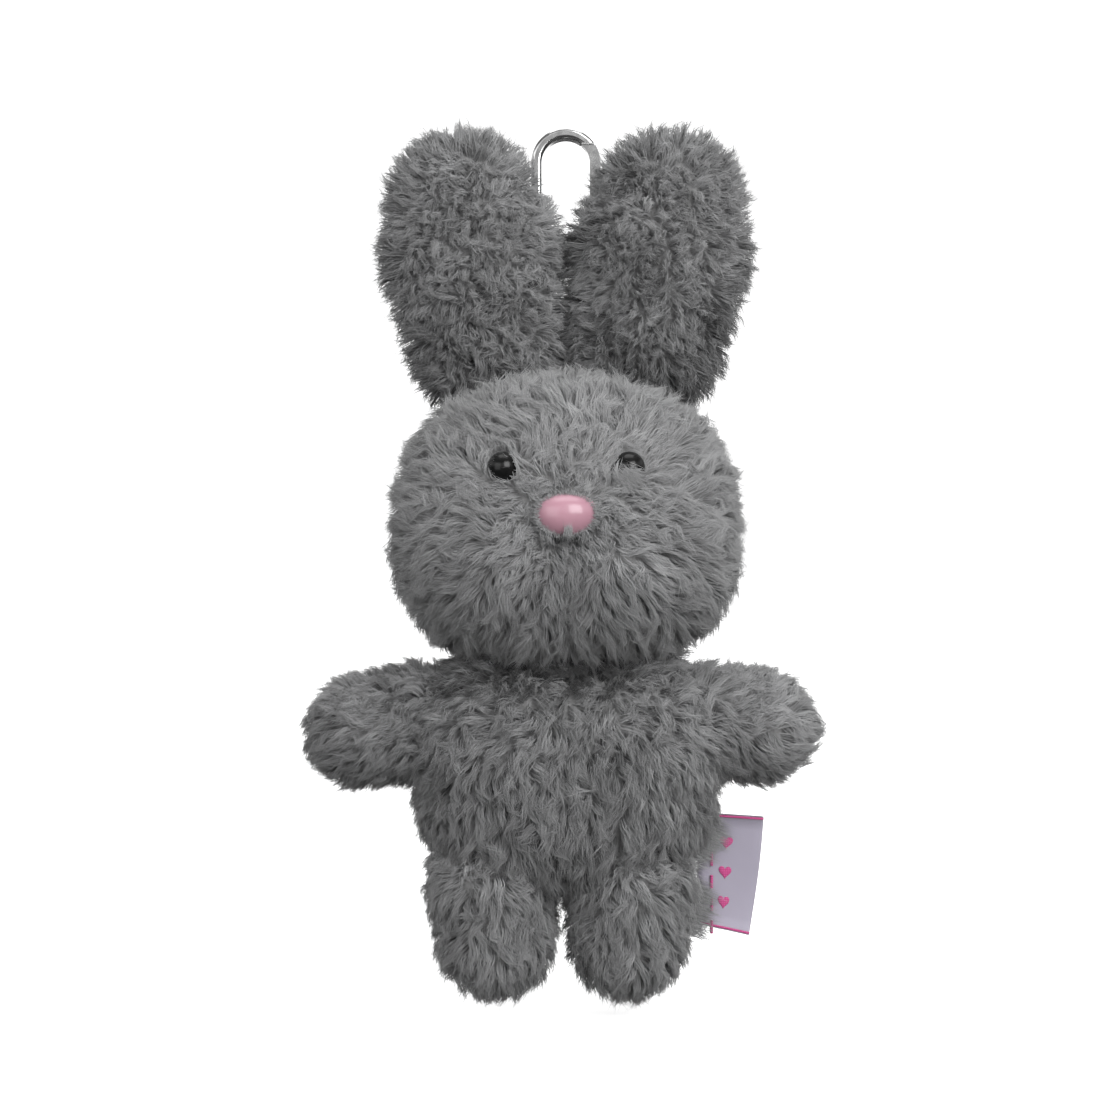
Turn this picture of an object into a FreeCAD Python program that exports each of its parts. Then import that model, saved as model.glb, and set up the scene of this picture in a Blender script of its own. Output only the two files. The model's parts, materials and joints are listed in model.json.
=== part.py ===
import FreeCAD, Part
import math
import os

import Sketcher

# Plush bunny keychain. Millimetres, +Z up, the face looks along -Y.
# The origin is the centre of the clasp's hook opening, where the keychain hangs.
# Heights in the sheet are counted from the soles and moved by hang_height; depths are
# counted backwards from the plush's seam plane and moved by loop_plane.

SIZES = {
    "hang_height": 144.0,
    "panel_thickness": 3.0,
    "stuffing_gap": 0.15,
    "seam_depth": 0.0,
    # head
    "head_half_width": 29.0,
    "head_half_depth": 20.5,
    "head_half_height": 23.5,
    "head_height": 82.0,
    # face
    "eye_spread": 10.2,
    "eye_height": 90.4,
    "eye_depth": 16.9,
    "eye_radius": 2.6,
    "eye_back": 0.6,
    "eye_stem_radius": 0.9,
    "eye_stem_length": 7.5,
    "eye_hole_length": 12.0,
    "washer_thickness": 0.8,
    "washer_room_gap": 0.3,
    "washer_room_depth": 8.5,
    "eye_washer_radius": 3.0,
    "nose_height": 82.6,
    "nose_depth": 20.9,
    "nose_half_width": 5.0,
    "nose_half_depth": 3.7,
    "nose_half_height": 3.6,
    "nose_stem_radius": 1.2,
    "nose_stem_length": 9.0,
    "nose_hole_length": 14.0,
    "nose_washer_radius": 4.0,
    "nose_seat_gap": 0.9,
    "stem_clearance": 0.1,
    # ears
    "ear_spread": 14.3,
    "ear_low_radius": 12.1,
    "ear_wide_radius": 14.6,
    "ear_tip_radius": 10.2,
    "ear_low_height": 111.6,
    "ear_rise_to_wide": 15.0,
    "ear_rise_to_tip": 11.2,
    "ear_lean": 6.7,
    "ear_hinge_height": 102.4,
    "ear_clearance": 0.5,
    "ear_half_depth": 6.6,
    "ear_plane": 3.0,
    # torso
    "torso_half_width": 24.5,
    "torso_half_depth": 14.0,
    "torso_bottom": 21.0,
    "torso_top": 57.0,
    "torso_low_round": 16.0,
    "torso_high_round": 9.5,
    # limbs
    "limb_gap": 0.8,
    "arm_shoulder": 24.0,
    "arm_height": 46.4,
    "arm_radius": 9.0,
    "arm_tip_radius": 8.8,
    "arm_length": 9.0,
    "arm_swing": 30.0,
    "leg_spread": 11.5,
    "leg_hip_height": 21.5,
    "leg_radius": 9.5,
    "leg_tip_radius": 9.0,
    "leg_length": 10.3,
    "leg_forward": 60.0,
    "leg_back": 25.0,
    # threads
    "thread_radius": 0.25,
    "closing_rise": 6.8,
    "closing_pitch": 1.3,
    "closing_length": 3.0,
    "tack_length": 4.6,
    "tack_rise": 8.2,
    "tack_pitch": 0.7,
    "label_stitch_length": 2.2,
    "label_stitch_inset": 0.8,
    "label_stitch_pitch": 3.8,
    "neck_ring_radius": 9.0,
    "neck_height": 57.3,
    # hang loop
    "loop_plane": 12.6,
    "loop_width": 6.0,
    "ribbon_thickness": 0.6,
    "loop_bottom": 97.6,
    "bar_height": 119.0,
    "bar_clearance": 0.25,
    "slot_clearance": 0.3,
    "slot_height": 14.0,
    # side label
    "label_root": 23.7,
    "label_reach": 9.3,
    "label_height": 19.0,
    "label_middle": 21.3,
    "label_ply": 0.35,
    "label_gap": 0.3,
    # clasp
    "hook_outer_radius": 6.0,
    "hook_inner_radius": 4.15,
    "hook_thickness": 4.2,
    "opening_drop": 8.0,
    "base_shoulder": 13.0,
    "base_bottom": 17.5,
    "base_half_width": 3.4,
    "hook_round": 0.6,
    "nose_face": 3.4,
    "mouth_bottom": 9.0,
    "gate_slot_width": 2.8,
    "gate_slot_bottom": 14.2,
    "gate_slot_left": 1.5,
    "gate_thickness": 2.5,
    "gate_top": 3.1,
    "gate_boss_radius": 1.35,
    "pin_offset": 3.9,
    "pin_drop": 11.0,
    "pin_radius": 0.5,
    "pin_clearance": 0.05,
    "thumb_drop": 4.0,
    "thumb_radius": 1.3,
    "collar_radius": 3.1,
    "collar_top": 13.3,
    "post_radius": 1.15,
    "rivet_radius": 1.8,
    "rivet_thickness": 0.9,
    "post_clearance": 0.08,
    "cavity_top": 14.0,
    "cavity_bottom": 15.4,
    "eye_wire_radius": 0.9,
    "ring_half_width": 4.4,
    "ring_half_height": 3.2,
    "ring_corner": 1.8,
    "spring_radius": 0.55,
    "spring_wire": 0.12,
    "spring_length": 1.4,
    "spring_turns": 4.0,
    "spring_offset": 4.1,
    "spring_drop": 14.0,
}

NODES = []
doc = FreeCAD.newDocument("plush_keychain")


def make_sheet():
    sheet = doc.addObject("Spreadsheet::Sheet", "Sizes")
    for row, (alias, value) in enumerate(SIZES.items(), start=1):
        sheet.set(f"A{row}", alias.replace("_", " "))
        sheet.set(f"B{row}", str(value))
        sheet.setAlias(f"B{row}", alias)
    doc.recompute()
    return sheet


def number(expression):
    """The present value of an expression on the sheet."""
    return float(SHEET.evalExpression(expression))


def above_feet(alias):
    """Z of a height that the sheet counts from the soles."""
    return f"Sizes.{alias} - Sizes.hang_height"


def place(item, x="0", y="0", z="0"):
    item.setExpression("Placement.Base.x", x)
    item.setExpression("Placement.Base.y", y)
    item.setExpression("Placement.Base.z", z)
    return item


def at(item, x="0", depth="0", z="0"):
    """Places a part by its depth behind the seam plane of the plush."""
    return place(item, x, f"{depth} - Sizes.loop_plane", z)


def turn(item, axis, degrees):
    item.Placement.Rotation = FreeCAD.Rotation(FreeCAD.Vector(*axis), degrees)
    return item


def node(item, label):
    """Marks an object as a sub-part; its label is its file's name."""
    item.Label = label
    NODES.append(item)
    return item


# Primitives and booleans


def ellipsoid(name, half_width, half_depth, half_height):
    item = doc.addObject("Part::Ellipsoid", name)
    item.Angle1 = -90
    item.Angle2 = 90
    item.setExpression("Radius1", half_height)
    item.setExpression("Radius2", half_width)
    item.setExpression("Radius3", half_depth)
    return item


def cylinder(name, radius, height):
    item = doc.addObject("Part::Cylinder", name)
    item.setExpression("Radius", radius)
    item.setExpression("Height", height)
    return item


def sphere(name, radius):
    item = doc.addObject("Part::Sphere", name)
    item.setExpression("Radius", radius)
    return item


def box(name, size, low):
    """A box from its three sizes and its lowest corner, all expressions."""
    item = doc.addObject("Part::Box", name)
    for prop, text in zip(("Length", "Width", "Height"), size):
        item.setExpression(prop, text)
    return at(item, *low)


def cut(name, base, tool):
    item = doc.addObject("Part::Cut", name)
    item.Base = base
    item.Tool = tool
    return item


def fuse(name, items):
    item = doc.addObject("Part::MultiFuse", name)
    item.Shapes = items
    return item


def group(name, items):
    """Several separate solids kept as one object."""
    item = doc.addObject("Part::Compound", name)
    item.Links = items
    return item


# Bodies made from sketches


def new_body(name):
    return doc.addObject("PartDesign::Body", name)


def new_sketch(body, name, plane="XZ_Plane"):
    sketch = body.newObject("Sketcher::SketchObject", name)
    origin = [f for f in body.Origin.OriginFeatures if f.Role == plane][0]
    sketch.AttachmentSupport = [(origin, "")]
    sketch.MapMode = "FlatFace"
    return sketch


def bound(sketch, kind, *where):
    """Adds a constraint whose value is the expression given last."""
    *ends, expression = where
    index = sketch.addConstraint(Sketcher.Constraint(kind, *ends, number(expression)))
    sketch.setExpression(f"Constraints[{index}]", expression)


def tie(sketch, kind, *where):
    sketch.addConstraint(Sketcher.Constraint(kind, *where))


def point(x, z):
    return FreeCAD.Vector(x, z, 0)


def arc(x, z, radius, start, end):
    """An arc in a sketch from its centre, radius and two angles in degrees."""
    circle = Part.Circle(point(x, z), FreeCAD.Vector(0, 0, 1), radius)
    return Part.ArcOfCircle(circle, math.radians(start), math.radians(end))


def line(x1, z1, x2, z2):
    return Part.LineSegment(point(x1, z1), point(x2, z2))


def chain(sketch, count, smooth=()):
    """Joins geometry 0 to count-1 end to start in a closed loop."""
    for index in range(count):
        following = (index + 1) % count
        kind = "Tangent" if index in smooth else "Coincident"
        tie(sketch, kind, index, 2, following, 1)


def revolve(body, sketch):
    turned = body.newObject("PartDesign::Revolution", sketch.Name + "_turned")
    turned.Profile = sketch
    turned.ReferenceAxis = (sketch, ["V_Axis"])
    turned.Angle = 360
    body.Tip = turned
    return turned


def pad(body, sketch, thickness):
    """Pads a sketch equally to both sides of its plane."""
    raised = body.newObject("PartDesign::Pad", sketch.Name + "_pad")
    raised.Profile = sketch
    raised.Midplane = True
    raised.setExpression("Length", thickness)
    body.Tip = raised
    return raised


def pocket(body, sketch, depth):
    sunk = body.newObject("PartDesign::Pocket", sketch.Name + "_pocket")
    sunk.Profile = sketch
    sunk.Midplane = True
    sunk.setExpression("Length", depth)
    body.Tip = sunk
    return sunk


def groove(body, sketch):
    sunk = body.newObject("PartDesign::Groove", sketch.Name + "_groove")
    sunk.Profile = sketch
    sunk.ReferenceAxis = (sketch, ["V_Axis"])
    sunk.Angle = 360
    body.Tip = sunk
    return sunk


def capsule(name, low_radius, high_radius, length):
    """A tapered round-ended lobe along local Z, with the low end's centre at the origin."""
    body = new_body(name)
    sketch = new_sketch(body, name + "_outline")
    low, high, long = number(low_radius), number(high_radius), number(length)
    lean = math.asin((high - low) / long)
    across, down = math.cos(lean), math.sin(lean)
    side = line(low * across, -low * down, high * across, long - high * down)
    sketch.addGeometry(arc(0, 0, low, -90, -math.degrees(lean)))
    sketch.addGeometry(side)
    sketch.addGeometry(arc(0, long, high, -math.degrees(lean), 90))
    sketch.addGeometry(line(0, long + high, 0, -low))
    chain(sketch, 4, smooth=(0, 1))
    tie(sketch, "Coincident", 0, 3, -1, 1)
    tie(sketch, "PointOnObject", 2, 3, -2)
    tie(sketch, "PointOnObject", 3, 1, -2)
    tie(sketch, "PointOnObject", 3, 2, -2)
    bound(sketch, "Radius", 0, low_radius)
    bound(sketch, "Radius", 2, high_radius)
    bound(sketch, "DistanceY", 0, 3, 2, 3, length)
    revolve(body, sketch)
    return body


def barrel(name, half_width, height, low_round, high_round):
    """A turned block with rounded ends, standing on the origin."""
    body = new_body(name)
    sketch = new_sketch(body, name + "_outline")
    wide, tall = number(half_width), number(height)
    low, high = number(low_round), number(high_round)
    sketch.addGeometry(line(0, 0, wide - low, 0))
    sketch.addGeometry(arc(wide - low, low, low, -90, 0))
    sketch.addGeometry(line(wide, low, wide, tall - high))
    sketch.addGeometry(arc(wide - high, tall - high, high, 0, 90))
    sketch.addGeometry(line(wide - high, tall, 0, tall))
    sketch.addGeometry(line(0, tall, 0, 0))
    chain(sketch, 6, smooth=(0, 1, 2, 3))
    tie(sketch, "Coincident", 0, 1, -1, 1)
    tie(sketch, "Horizontal", 0)
    tie(sketch, "Vertical", 2)
    tie(sketch, "Vertical", 5)
    bound(sketch, "Radius", 1, low_round)
    bound(sketch, "Radius", 3, high_round)
    bound(sketch, "DistanceX", 0, 1, 1, 2, half_width)
    bound(sketch, "DistanceY", 0, 1, 5, 1, height)
    revolve(body, sketch)
    return body


def flattened(name, base, depth_ratio):
    """The same shape with its depth scaled, so that its section is an ellipse."""
    item = doc.addObject("Part::Scale", name)
    item.Base = base
    item.Uniform = False
    item.XScale = 1
    item.ZScale = 1
    item.setExpression("YScale", depth_ratio)
    return item


# Stuffed parts: a front and a back panel of plush around a stuffing


REACH = 150


def front_side(name, seam):
    """Everything in front of a seam plane, as a tool."""
    size = (f"2 * {REACH}", f"{REACH}", f"2 * {REACH}")
    return box(name, size, (f"-{REACH}", f"{seam} - {REACH}", f"-1.5 * {REACH}"))


def back_side(name, seam):
    size = (f"2 * {REACH}", f"{REACH}", f"2 * {REACH}")
    return box(name, size, (f"-{REACH}", seam, f"-1.5 * {REACH}"))


def panels(name, outer, hollow, seam, front_label, back_label):
    shell = cut(name + "_shell", outer, hollow)
    front = cut(name + "_front", shell, back_side(name + "_back_side", seam))
    back = cut(name + "_back", shell, front_side(name + "_front_side", seam))
    return node(front, front_label), node(back, back_label)


THICK = "Sizes.panel_thickness"
INSET = "(Sizes.panel_thickness + Sizes.stuffing_gap)"


def head_lump(name, inset):
    lump = ellipsoid(
        name,
        f"Sizes.head_half_width - {inset}",
        f"Sizes.head_half_depth - {inset}",
        f"Sizes.head_half_height - {inset}",
    )
    return at(lump, z=above_feet("head_height"))


def facing(item):
    """Turns a part made along +Z so that it points out of the face, along -Y."""
    return turn(item, (1, 0, 0), 90)


def dome(name, radius, back, stem_radius, stem_length):
    """A round bead with a flat back and a stem, made along +Z."""
    body = new_body(name)
    sketch = new_sketch(body, name + "_outline")
    r, flat = number(radius), number(back)
    stem, long = number(stem_radius), number(stem_length)
    edge = math.sqrt(r * r - flat * flat)
    low = -math.degrees(math.asin(flat / r))
    sketch.addGeometry(line(0, -long, stem, -long))
    sketch.addGeometry(line(stem, -long, stem, -flat))
    sketch.addGeometry(line(stem, -flat, edge, -flat))
    sketch.addGeometry(arc(0, 0, r, low, 90))
    sketch.addGeometry(line(0, r, 0, -long))
    chain(sketch, 5)
    tie(sketch, "Coincident", 3, 3, -1, 1)
    tie(sketch, "Horizontal", 0)
    tie(sketch, "Vertical", 1)
    tie(sketch, "Horizontal", 2)
    tie(sketch, "PointOnObject", 4, 1, -2)
    tie(sketch, "PointOnObject", 4, 2, -2)
    bound(sketch, "Radius", 3, radius)
    bound(sketch, "DistanceX", 0, 1, 0, 2, stem_radius)
    bound(sketch, "DistanceY", 2, 1, 3, 3, back)
    bound(sketch, "DistanceY", 0, 1, 3, 3, stem_length)
    revolve(body, sketch)
    return body


def eye_place(item, side):
    x = f"{side} * Sizes.eye_spread"
    return at(facing(item), x, "-Sizes.eye_depth", above_feet("eye_height"))


def make_eye(side, word):
    eye = dome(
        f"eye_{word}_bead",
        "Sizes.eye_radius",
        "Sizes.eye_back",
        "Sizes.eye_stem_radius",
        "Sizes.eye_stem_length",
    )
    return node(eye_place(eye, side), f"eye_{word}")


def eye_room(side, word):
    """The seat and stem hole that one eye needs in the face."""
    seat = sphere(f"eye_{word}_seat", "Sizes.eye_radius + Sizes.stem_clearance")
    stem_room = "Sizes.eye_stem_radius + Sizes.stem_clearance"
    hole = facing(cylinder(f"eye_{word}_hole", stem_room, "Sizes.eye_hole_length"))
    x, height = f"{side} * Sizes.eye_spread", above_feet("eye_height")
    at(seat, x, "-Sizes.eye_depth", height)
    at(hole, x, "-Sizes.eye_depth + Sizes.eye_hole_length - 2", height)
    return [seat, hole]


def washer(name, radius, stem_radius, x, height, front):
    """A flat ring on a stem, its front face at the given Y."""
    disc = facing(cylinder(name + "_disc", radius, "Sizes.washer_thickness"))
    hole = facing(cylinder(name + "_bore", f"{stem_radius} + Sizes.stem_clearance", "6"))
    at(disc, x, f"{front} + Sizes.washer_thickness", above_feet(height))
    at(hole, x, f"{front} + 3", above_feet(height))
    return cut(name, disc, hole)


def washer_room(name, radius, x, height, front):
    """The pocket in the stuffing for a washer and the stem's end."""
    room = facing(cylinder(name, f"{radius} + Sizes.washer_room_gap", "Sizes.washer_room_depth"))
    return at(room, x, f"{front} + Sizes.washer_room_depth - 4", above_feet(height))


# Depths of the washers' front faces, just inside the face panel's inner surface
EYE_WASHER_FRONT = "-Sizes.eye_depth + 4.9"
NOSE_WASHER_FRONT = "-Sizes.head_half_depth + Sizes.panel_thickness + 0.5"


def nose_share(level):
    """How wide the nose is at a level from -1 to 1: blunt above, drawn in below."""
    power = 2.7 if level > 0 else 1.75
    return math.sqrt(1 - abs(level) ** power)


def make_nose():
    """A moulded nose of stacked oval sections, with a stem."""
    levels = [math.sin(math.radians(angle)) for angle in range(-84, 85, 14)]
    sections = [(-0.999, 0.06)] + [(u, nose_share(u)) for u in levels] + [(0.999, 0.06)]
    rings = []
    for index, (level, share) in enumerate(sections):
        ring = doc.addObject("Part::Ellipse", f"nose_section_{index}")
        ring.setExpression("MajorRadius", f"{share:.4f} * Sizes.nose_half_width")
        ring.setExpression("MinorRadius", f"{share:.4f} * Sizes.nose_half_depth")
        height = f"{level:.4f} * Sizes.nose_half_height + {above_feet('nose_height')}"
        at(ring, "0", "-Sizes.nose_depth", height)
        rings.append(ring)
    moulding = doc.addObject("Part::Loft", "nose_moulding")
    moulding.Sections = rings
    moulding.Solid = True
    moulding.Ruled = False
    stem = facing(cylinder("nose_stem", "Sizes.nose_stem_radius", "Sizes.nose_stem_length"))
    at(stem, "0", "-Sizes.nose_depth + Sizes.nose_stem_length", above_feet("nose_height"))
    return node(fuse("nose_with_stem", [moulding, stem]), "nose")


def nose_room():
    """A shallow seat behind the nose and its stem hole."""
    seat = ellipsoid(
        "nose_seat",
        "Sizes.nose_half_width + Sizes.nose_seat_gap",
        "Sizes.nose_half_depth + Sizes.nose_seat_gap",
        "Sizes.nose_half_height + Sizes.nose_seat_gap",
    )
    at(seat, "0", "-Sizes.nose_depth", above_feet("nose_height"))
    stem_room = "Sizes.nose_stem_radius + Sizes.stem_clearance"
    hole = facing(cylinder("nose_hole", stem_room, "Sizes.nose_hole_length"))
    back = "-Sizes.nose_depth + Sizes.nose_hole_length - 2"
    at(hole, "0", back, above_feet("nose_height"))
    return [seat, hole]


def loop_slot():
    """The opening in the back of the head that the hang loop comes out of."""
    clear = "Sizes.slot_clearance"
    half_x = f"(Sizes.loop_width / 2 + {clear})"
    half_y = f"(Sizes.eye_wire_radius + Sizes.bar_clearance + Sizes.ribbon_thickness + {clear})"
    size = (f"2 * {half_x}", f"2 * {half_y}", "Sizes.slot_height")
    low = (f"-{half_x}", f"Sizes.loop_plane - {half_y}", above_feet("loop_bottom") + " - 4")
    return box("loop_slot", size, low)


def washer_rooms():
    """Pockets in the stuffing for the washers of both eyes and the nose."""
    rooms = []
    for word, side in (("left", -1), ("right", 1)):
        x = f"{side} * Sizes.eye_spread"
        name = f"eye_{word}_washer_room"
        rooms.append(washer_room(name, "Sizes.eye_washer_radius", x, "eye_height",
                                 EYE_WASHER_FRONT))
    rooms.append(washer_room("nose_washer_room", "Sizes.nose_washer_radius", "0",
                             "nose_height", NOSE_WASHER_FRONT))
    return rooms


def make_washers():
    rings = []
    for word, side in (("left", -1), ("right", 1)):
        x = f"{side} * Sizes.eye_spread"
        rings.append(
            washer(f"washer_{word}", "Sizes.eye_washer_radius", "Sizes.eye_stem_radius",
                   x, "eye_height", EYE_WASHER_FRONT)
        )
    node(group("washer_pair", rings), "eye_washers")
    ring = washer("washer_nose", "Sizes.nose_washer_radius", "Sizes.nose_stem_radius",
                  "0", "nose_height", NOSE_WASHER_FRONT)
    node(ring, "nose_washer")


def make_head():
    seats = eye_room(-1, "left") + eye_room(1, "right") + nose_room() + [loop_slot()]
    fittings = fuse("head_fittings_room", seats + washer_rooms())
    skin = cut("head_skin", head_lump("head_outer", "0"), fittings)
    panels("head", skin, head_lump("head_hollow", THICK), "Sizes.seam_depth",
           "face_panel", "head_back_panel")
    filling = cut("head_filling", head_lump("head_core", INSET), fittings)
    node(filling, "head_stuffing")
    make_eye(-1, "left")
    make_eye(1, "right")
    make_nose()
    make_washers()


def ear_turning(name, inset):
    """An ear before flattening: three round stations on local Z, joined by tangent sides."""
    radii = [f"Sizes.ear_{station}_radius - {inset}" for station in ("low", "wide", "tip")]
    rises = ("Sizes.ear_rise_to_wide", "Sizes.ear_rise_to_tip")
    low, wide, tip = (number(radius) for radius in radii)
    to_wide, to_tip = (number(rise) for rise in rises)
    lean_low = math.asin((wide - low) / to_wide)
    lean_high = math.asin((wide - tip) / to_tip)
    body = new_body(name)
    sketch = new_sketch(body, name + "_outline")

    def rim(level, radius, angle):
        return radius * math.cos(angle), level + radius * math.sin(angle)

    sketch.addGeometry(arc(0, 0, low, -90, -math.degrees(lean_low)))
    sketch.addGeometry(line(*rim(0, low, -lean_low), *rim(to_wide, wide, -lean_low)))
    angles = (-math.degrees(lean_low), math.degrees(lean_high))
    sketch.addGeometry(arc(0, to_wide, wide, *angles))
    top = to_wide + to_tip
    sketch.addGeometry(line(*rim(to_wide, wide, lean_high), *rim(top, tip, lean_high)))
    sketch.addGeometry(arc(0, top, tip, math.degrees(lean_high), 90))
    sketch.addGeometry(line(0, top + tip, 0, -low))
    chain(sketch, 6, smooth=(0, 1, 2, 3))
    tie(sketch, "Coincident", 0, 3, -1, 1)
    for end in ((2, 3), (4, 3), (5, 1), (5, 2)):
        tie(sketch, "PointOnObject", *end, -2)
    for index, radius in zip((0, 2, 4), radii):
        bound(sketch, "Radius", index, radius)
    bound(sketch, "DistanceY", 0, 3, 2, 3, rises[0])
    bound(sketch, "DistanceY", 2, 3, 4, 3, rises[1])
    revolve(body, sketch)
    return body


def ear_lobe(name, inset, side):
    """An ear's lobe, flattened from its turning; insets keep the panel's thickness."""
    ratio = f"(Sizes.ear_half_depth - {inset}) / (Sizes.ear_wide_radius - {inset})"
    flat = flattened(name, ear_turning(name + "_turning", inset), ratio)
    turn(flat, (0, 1, 0), side * number("Sizes.ear_lean"))
    return at(flat, f"{side} * Sizes.ear_spread", "Sizes.ear_plane",
              above_feet("ear_low_height"))


FLOP_STEPS = (-6, 2, 10, 18, 26, 34, 42, 50)


def ear_seat():
    """The head as an ear meets it through its flop: what is cut off the ear's open end."""
    behind = -number("Sizes.loop_plane")
    hinge_y = behind + number("Sizes.ear_plane")
    hinge = FreeCAD.Vector(0, hinge_y, number(above_feet("ear_hinge_height")))
    middle = FreeCAD.Vector(0, behind, number(above_feet("head_height")))
    lumps = []
    for degrees in FLOP_STEPS:
        lump = ellipsoid(
            f"head_seen_{degrees + 6}",
            "Sizes.head_half_width + Sizes.ear_clearance",
            "Sizes.head_half_depth + Sizes.ear_clearance",
            "Sizes.head_half_height + Sizes.ear_clearance",
        )
        spin = FreeCAD.Rotation(FreeCAD.Vector(1, 0, 0), -degrees)
        lump.Placement = FreeCAD.Placement(hinge + spin.multVec(middle - hinge), spin)
        lumps.append(lump)
    return fuse("ear_seat", lumps)


def make_ear(side, word, seat):
    name = f"ear_{word}"
    outer = cut(name + "_open", ear_lobe(name + "_outer", "0", side), seat)
    hollow = ear_lobe(name + "_hollow", "Sizes.panel_thickness", side)
    panels(name, outer, hollow, "Sizes.ear_plane", name + "_front_panel", name + "_back_panel")
    filling = ear_lobe(name + "_core", INSET, side)
    node(cut(name + "_filling", filling, seat), name + "_stuffing")


def limb(name, kind, inset, side):
    """An arm along +-X or a leg along -Z; its pivot is its inner end's centre."""
    lobe = capsule(
        name,
        f"Sizes.{kind}_radius - {inset}",
        f"Sizes.{kind}_tip_radius - {inset}",
        f"Sizes.{kind}_length",
    )
    if kind == "arm":
        turn(lobe, (0, 1, 0), 90 * side)
        return at(lobe, f"{side} * Sizes.arm_shoulder", "0", above_feet("arm_height"))
    turn(lobe, (1, 0, 0), 180)
    return at(lobe, f"{side} * Sizes.leg_spread", "0", above_feet("leg_hip_height"))


def make_limb(kind, side, word):
    name = f"{kind}_{word}"
    outer = limb(name + "_outer", kind, "0", side)
    hollow = limb(name + "_hollow", kind, "Sizes.panel_thickness", side)
    panels(name, outer, hollow, "0", name + "_front_panel", name + "_back_panel")
    node(limb(name + "_filling", kind, INSET, side), name + "_stuffing")


SWING_STEPS = 6


def swing_room(kind, side, word):
    """The space a limb sweeps near its pivot: a ball and a fan of cylinders."""
    name = f"{kind}_{word}_room"
    radius = f"Sizes.{kind}_radius + Sizes.limb_gap"
    if kind == "arm":
        spot = (f"{side} * Sizes.arm_shoulder", "0", above_feet("arm_height"))
        axis, first, low, high = (0, 1, 0), 90 * side, -SIZES["arm_swing"], SIZES["arm_swing"]
    else:
        spot = (f"{side} * Sizes.leg_spread", "0", above_feet("leg_hip_height"))
        axis, first, low, high = (1, 0, 0), 180, -SIZES["leg_forward"], SIZES["leg_back"]
    tools = [at(sphere(name + "_ball", radius), *spot)]
    for step in range(SWING_STEPS + 1):
        angle = first + low + (high - low) * step / SWING_STEPS
        beam = turn(cylinder(f"{name}_{step}", radius, "24"), axis, angle)
        tools.append(at(beam, *spot))
    return fuse(name, tools)


def torso_lump(name, inset):
    block = barrel(
        name + "_turning",
        f"Sizes.torso_half_width - {inset}",
        f"Sizes.torso_top - Sizes.torso_bottom - 2 * {inset}",
        f"Sizes.torso_low_round - {inset}",
        f"Sizes.torso_high_round - {inset}",
    )
    ratio = f"(Sizes.torso_half_depth - {inset}) / (Sizes.torso_half_width - {inset})"
    flat = flattened(name, block, ratio)
    return at(flat, z=above_feet("torso_bottom") + f" + {inset}")


def make_torso():
    rooms = []
    for kind in ("arm", "leg"):
        rooms.append(swing_room(kind, -1, "left"))
        rooms.append(swing_room(kind, 1, "right"))
    limbs_room = fuse("limbs_room", rooms)
    skin = cut("torso_skin", torso_lump("torso_outer", "0"), limbs_room)
    panels("torso", skin, torso_lump("torso_hollow", THICK), "0",
           "torso_front_panel", "torso_back_panel")
    node(cut("torso_filling", torso_lump("torso_core", INSET), limbs_room), "torso_stuffing")


# Threads


def make_neck_stitching():
    ring = doc.addObject("Part::Torus", "neck_ring")
    ring.setExpression("Radius1", "Sizes.neck_ring_radius")
    ring.setExpression("Radius2", "Sizes.thread_radius")
    node(at(ring, z=above_feet("neck_height")), "neck_stitching")


def bar(name, length, axis, degrees, spot):
    """A straight thread from its middle; made along Z, then turned."""
    thread = cylinder(name, "Sizes.thread_radius", length)
    rotation = FreeCAD.Rotation(FreeCAD.Vector(*axis), degrees)
    along = rotation.multVec(FreeCAD.Vector(0, 0, 1))
    thread.Placement.Rotation = rotation
    half = number(length) / 2
    shifted = [f"{text} - {round(half * part, 6)}" for text, part in zip(spot, along)]
    return at(thread, *shifted)


STITCHES = 5


def make_closing_stitching():
    """Short stitches across the side seam, left of the belly."""
    bars = []
    for index in range(STITCHES):
        rise = number("Sizes.closing_rise") + number("Sizes.closing_pitch") * index
        drop = number("Sizes.torso_low_round") - rise
        inward = number("Sizes.torso_low_round") - math.sqrt(
            number("Sizes.torso_low_round") ** 2 - drop**2
        )
        x = f"-Sizes.torso_half_width + {round(inward, 4)} - 0.5"
        z = above_feet("torso_bottom") + f" + {round(rise, 4)}"
        name = f"closing_stitch_{index}"
        bars.append(bar(name, "Sizes.closing_length", (1, 0, 0), 90, (x, "0", z)))
    node(group("closing_stitches", bars), "closing_stitching")


def make_loop_stitching():
    """A bar tack across the back of the ribbon, where it leaves the head."""
    bars = []
    y = "Sizes.loop_plane + Sizes.eye_wire_radius + Sizes.bar_clearance"
    y += " + Sizes.ribbon_thickness + Sizes.thread_radius + 0.03"
    for index in range(STITCHES):
        z = above_feet("loop_bottom") + f" + Sizes.tack_rise + {index} * Sizes.tack_pitch"
        name = f"loop_stitch_{index}"
        bars.append(bar(name, "Sizes.tack_length", (0, 1, 0), 90, ("0", y, z)))
    node(group("loop_stitches", bars), "loop_stitching")


def make_label_stitching():
    """Upright stitches on both faces of the label, next to its seam."""
    bars = []
    out = "(Sizes.label_gap / 2 + Sizes.label_ply + Sizes.thread_radius + 0.03)"
    for face in (-1, 1):
        for index in range(STITCHES):
            z = f"{above_feet('label_middle')} + {index - 2} * Sizes.label_stitch_pitch"
            spot = ("Sizes.label_root + Sizes.label_stitch_inset", f"{face} * {out}", z)
            name = f"label_stitch_{face + 1}_{index}"
            bars.append(bar(name, "Sizes.label_stitch_length", (0, 0, 1), 0, spot))
    node(group("label_stitches", bars), "label_stitching")


# Ribbon loop and label


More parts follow.
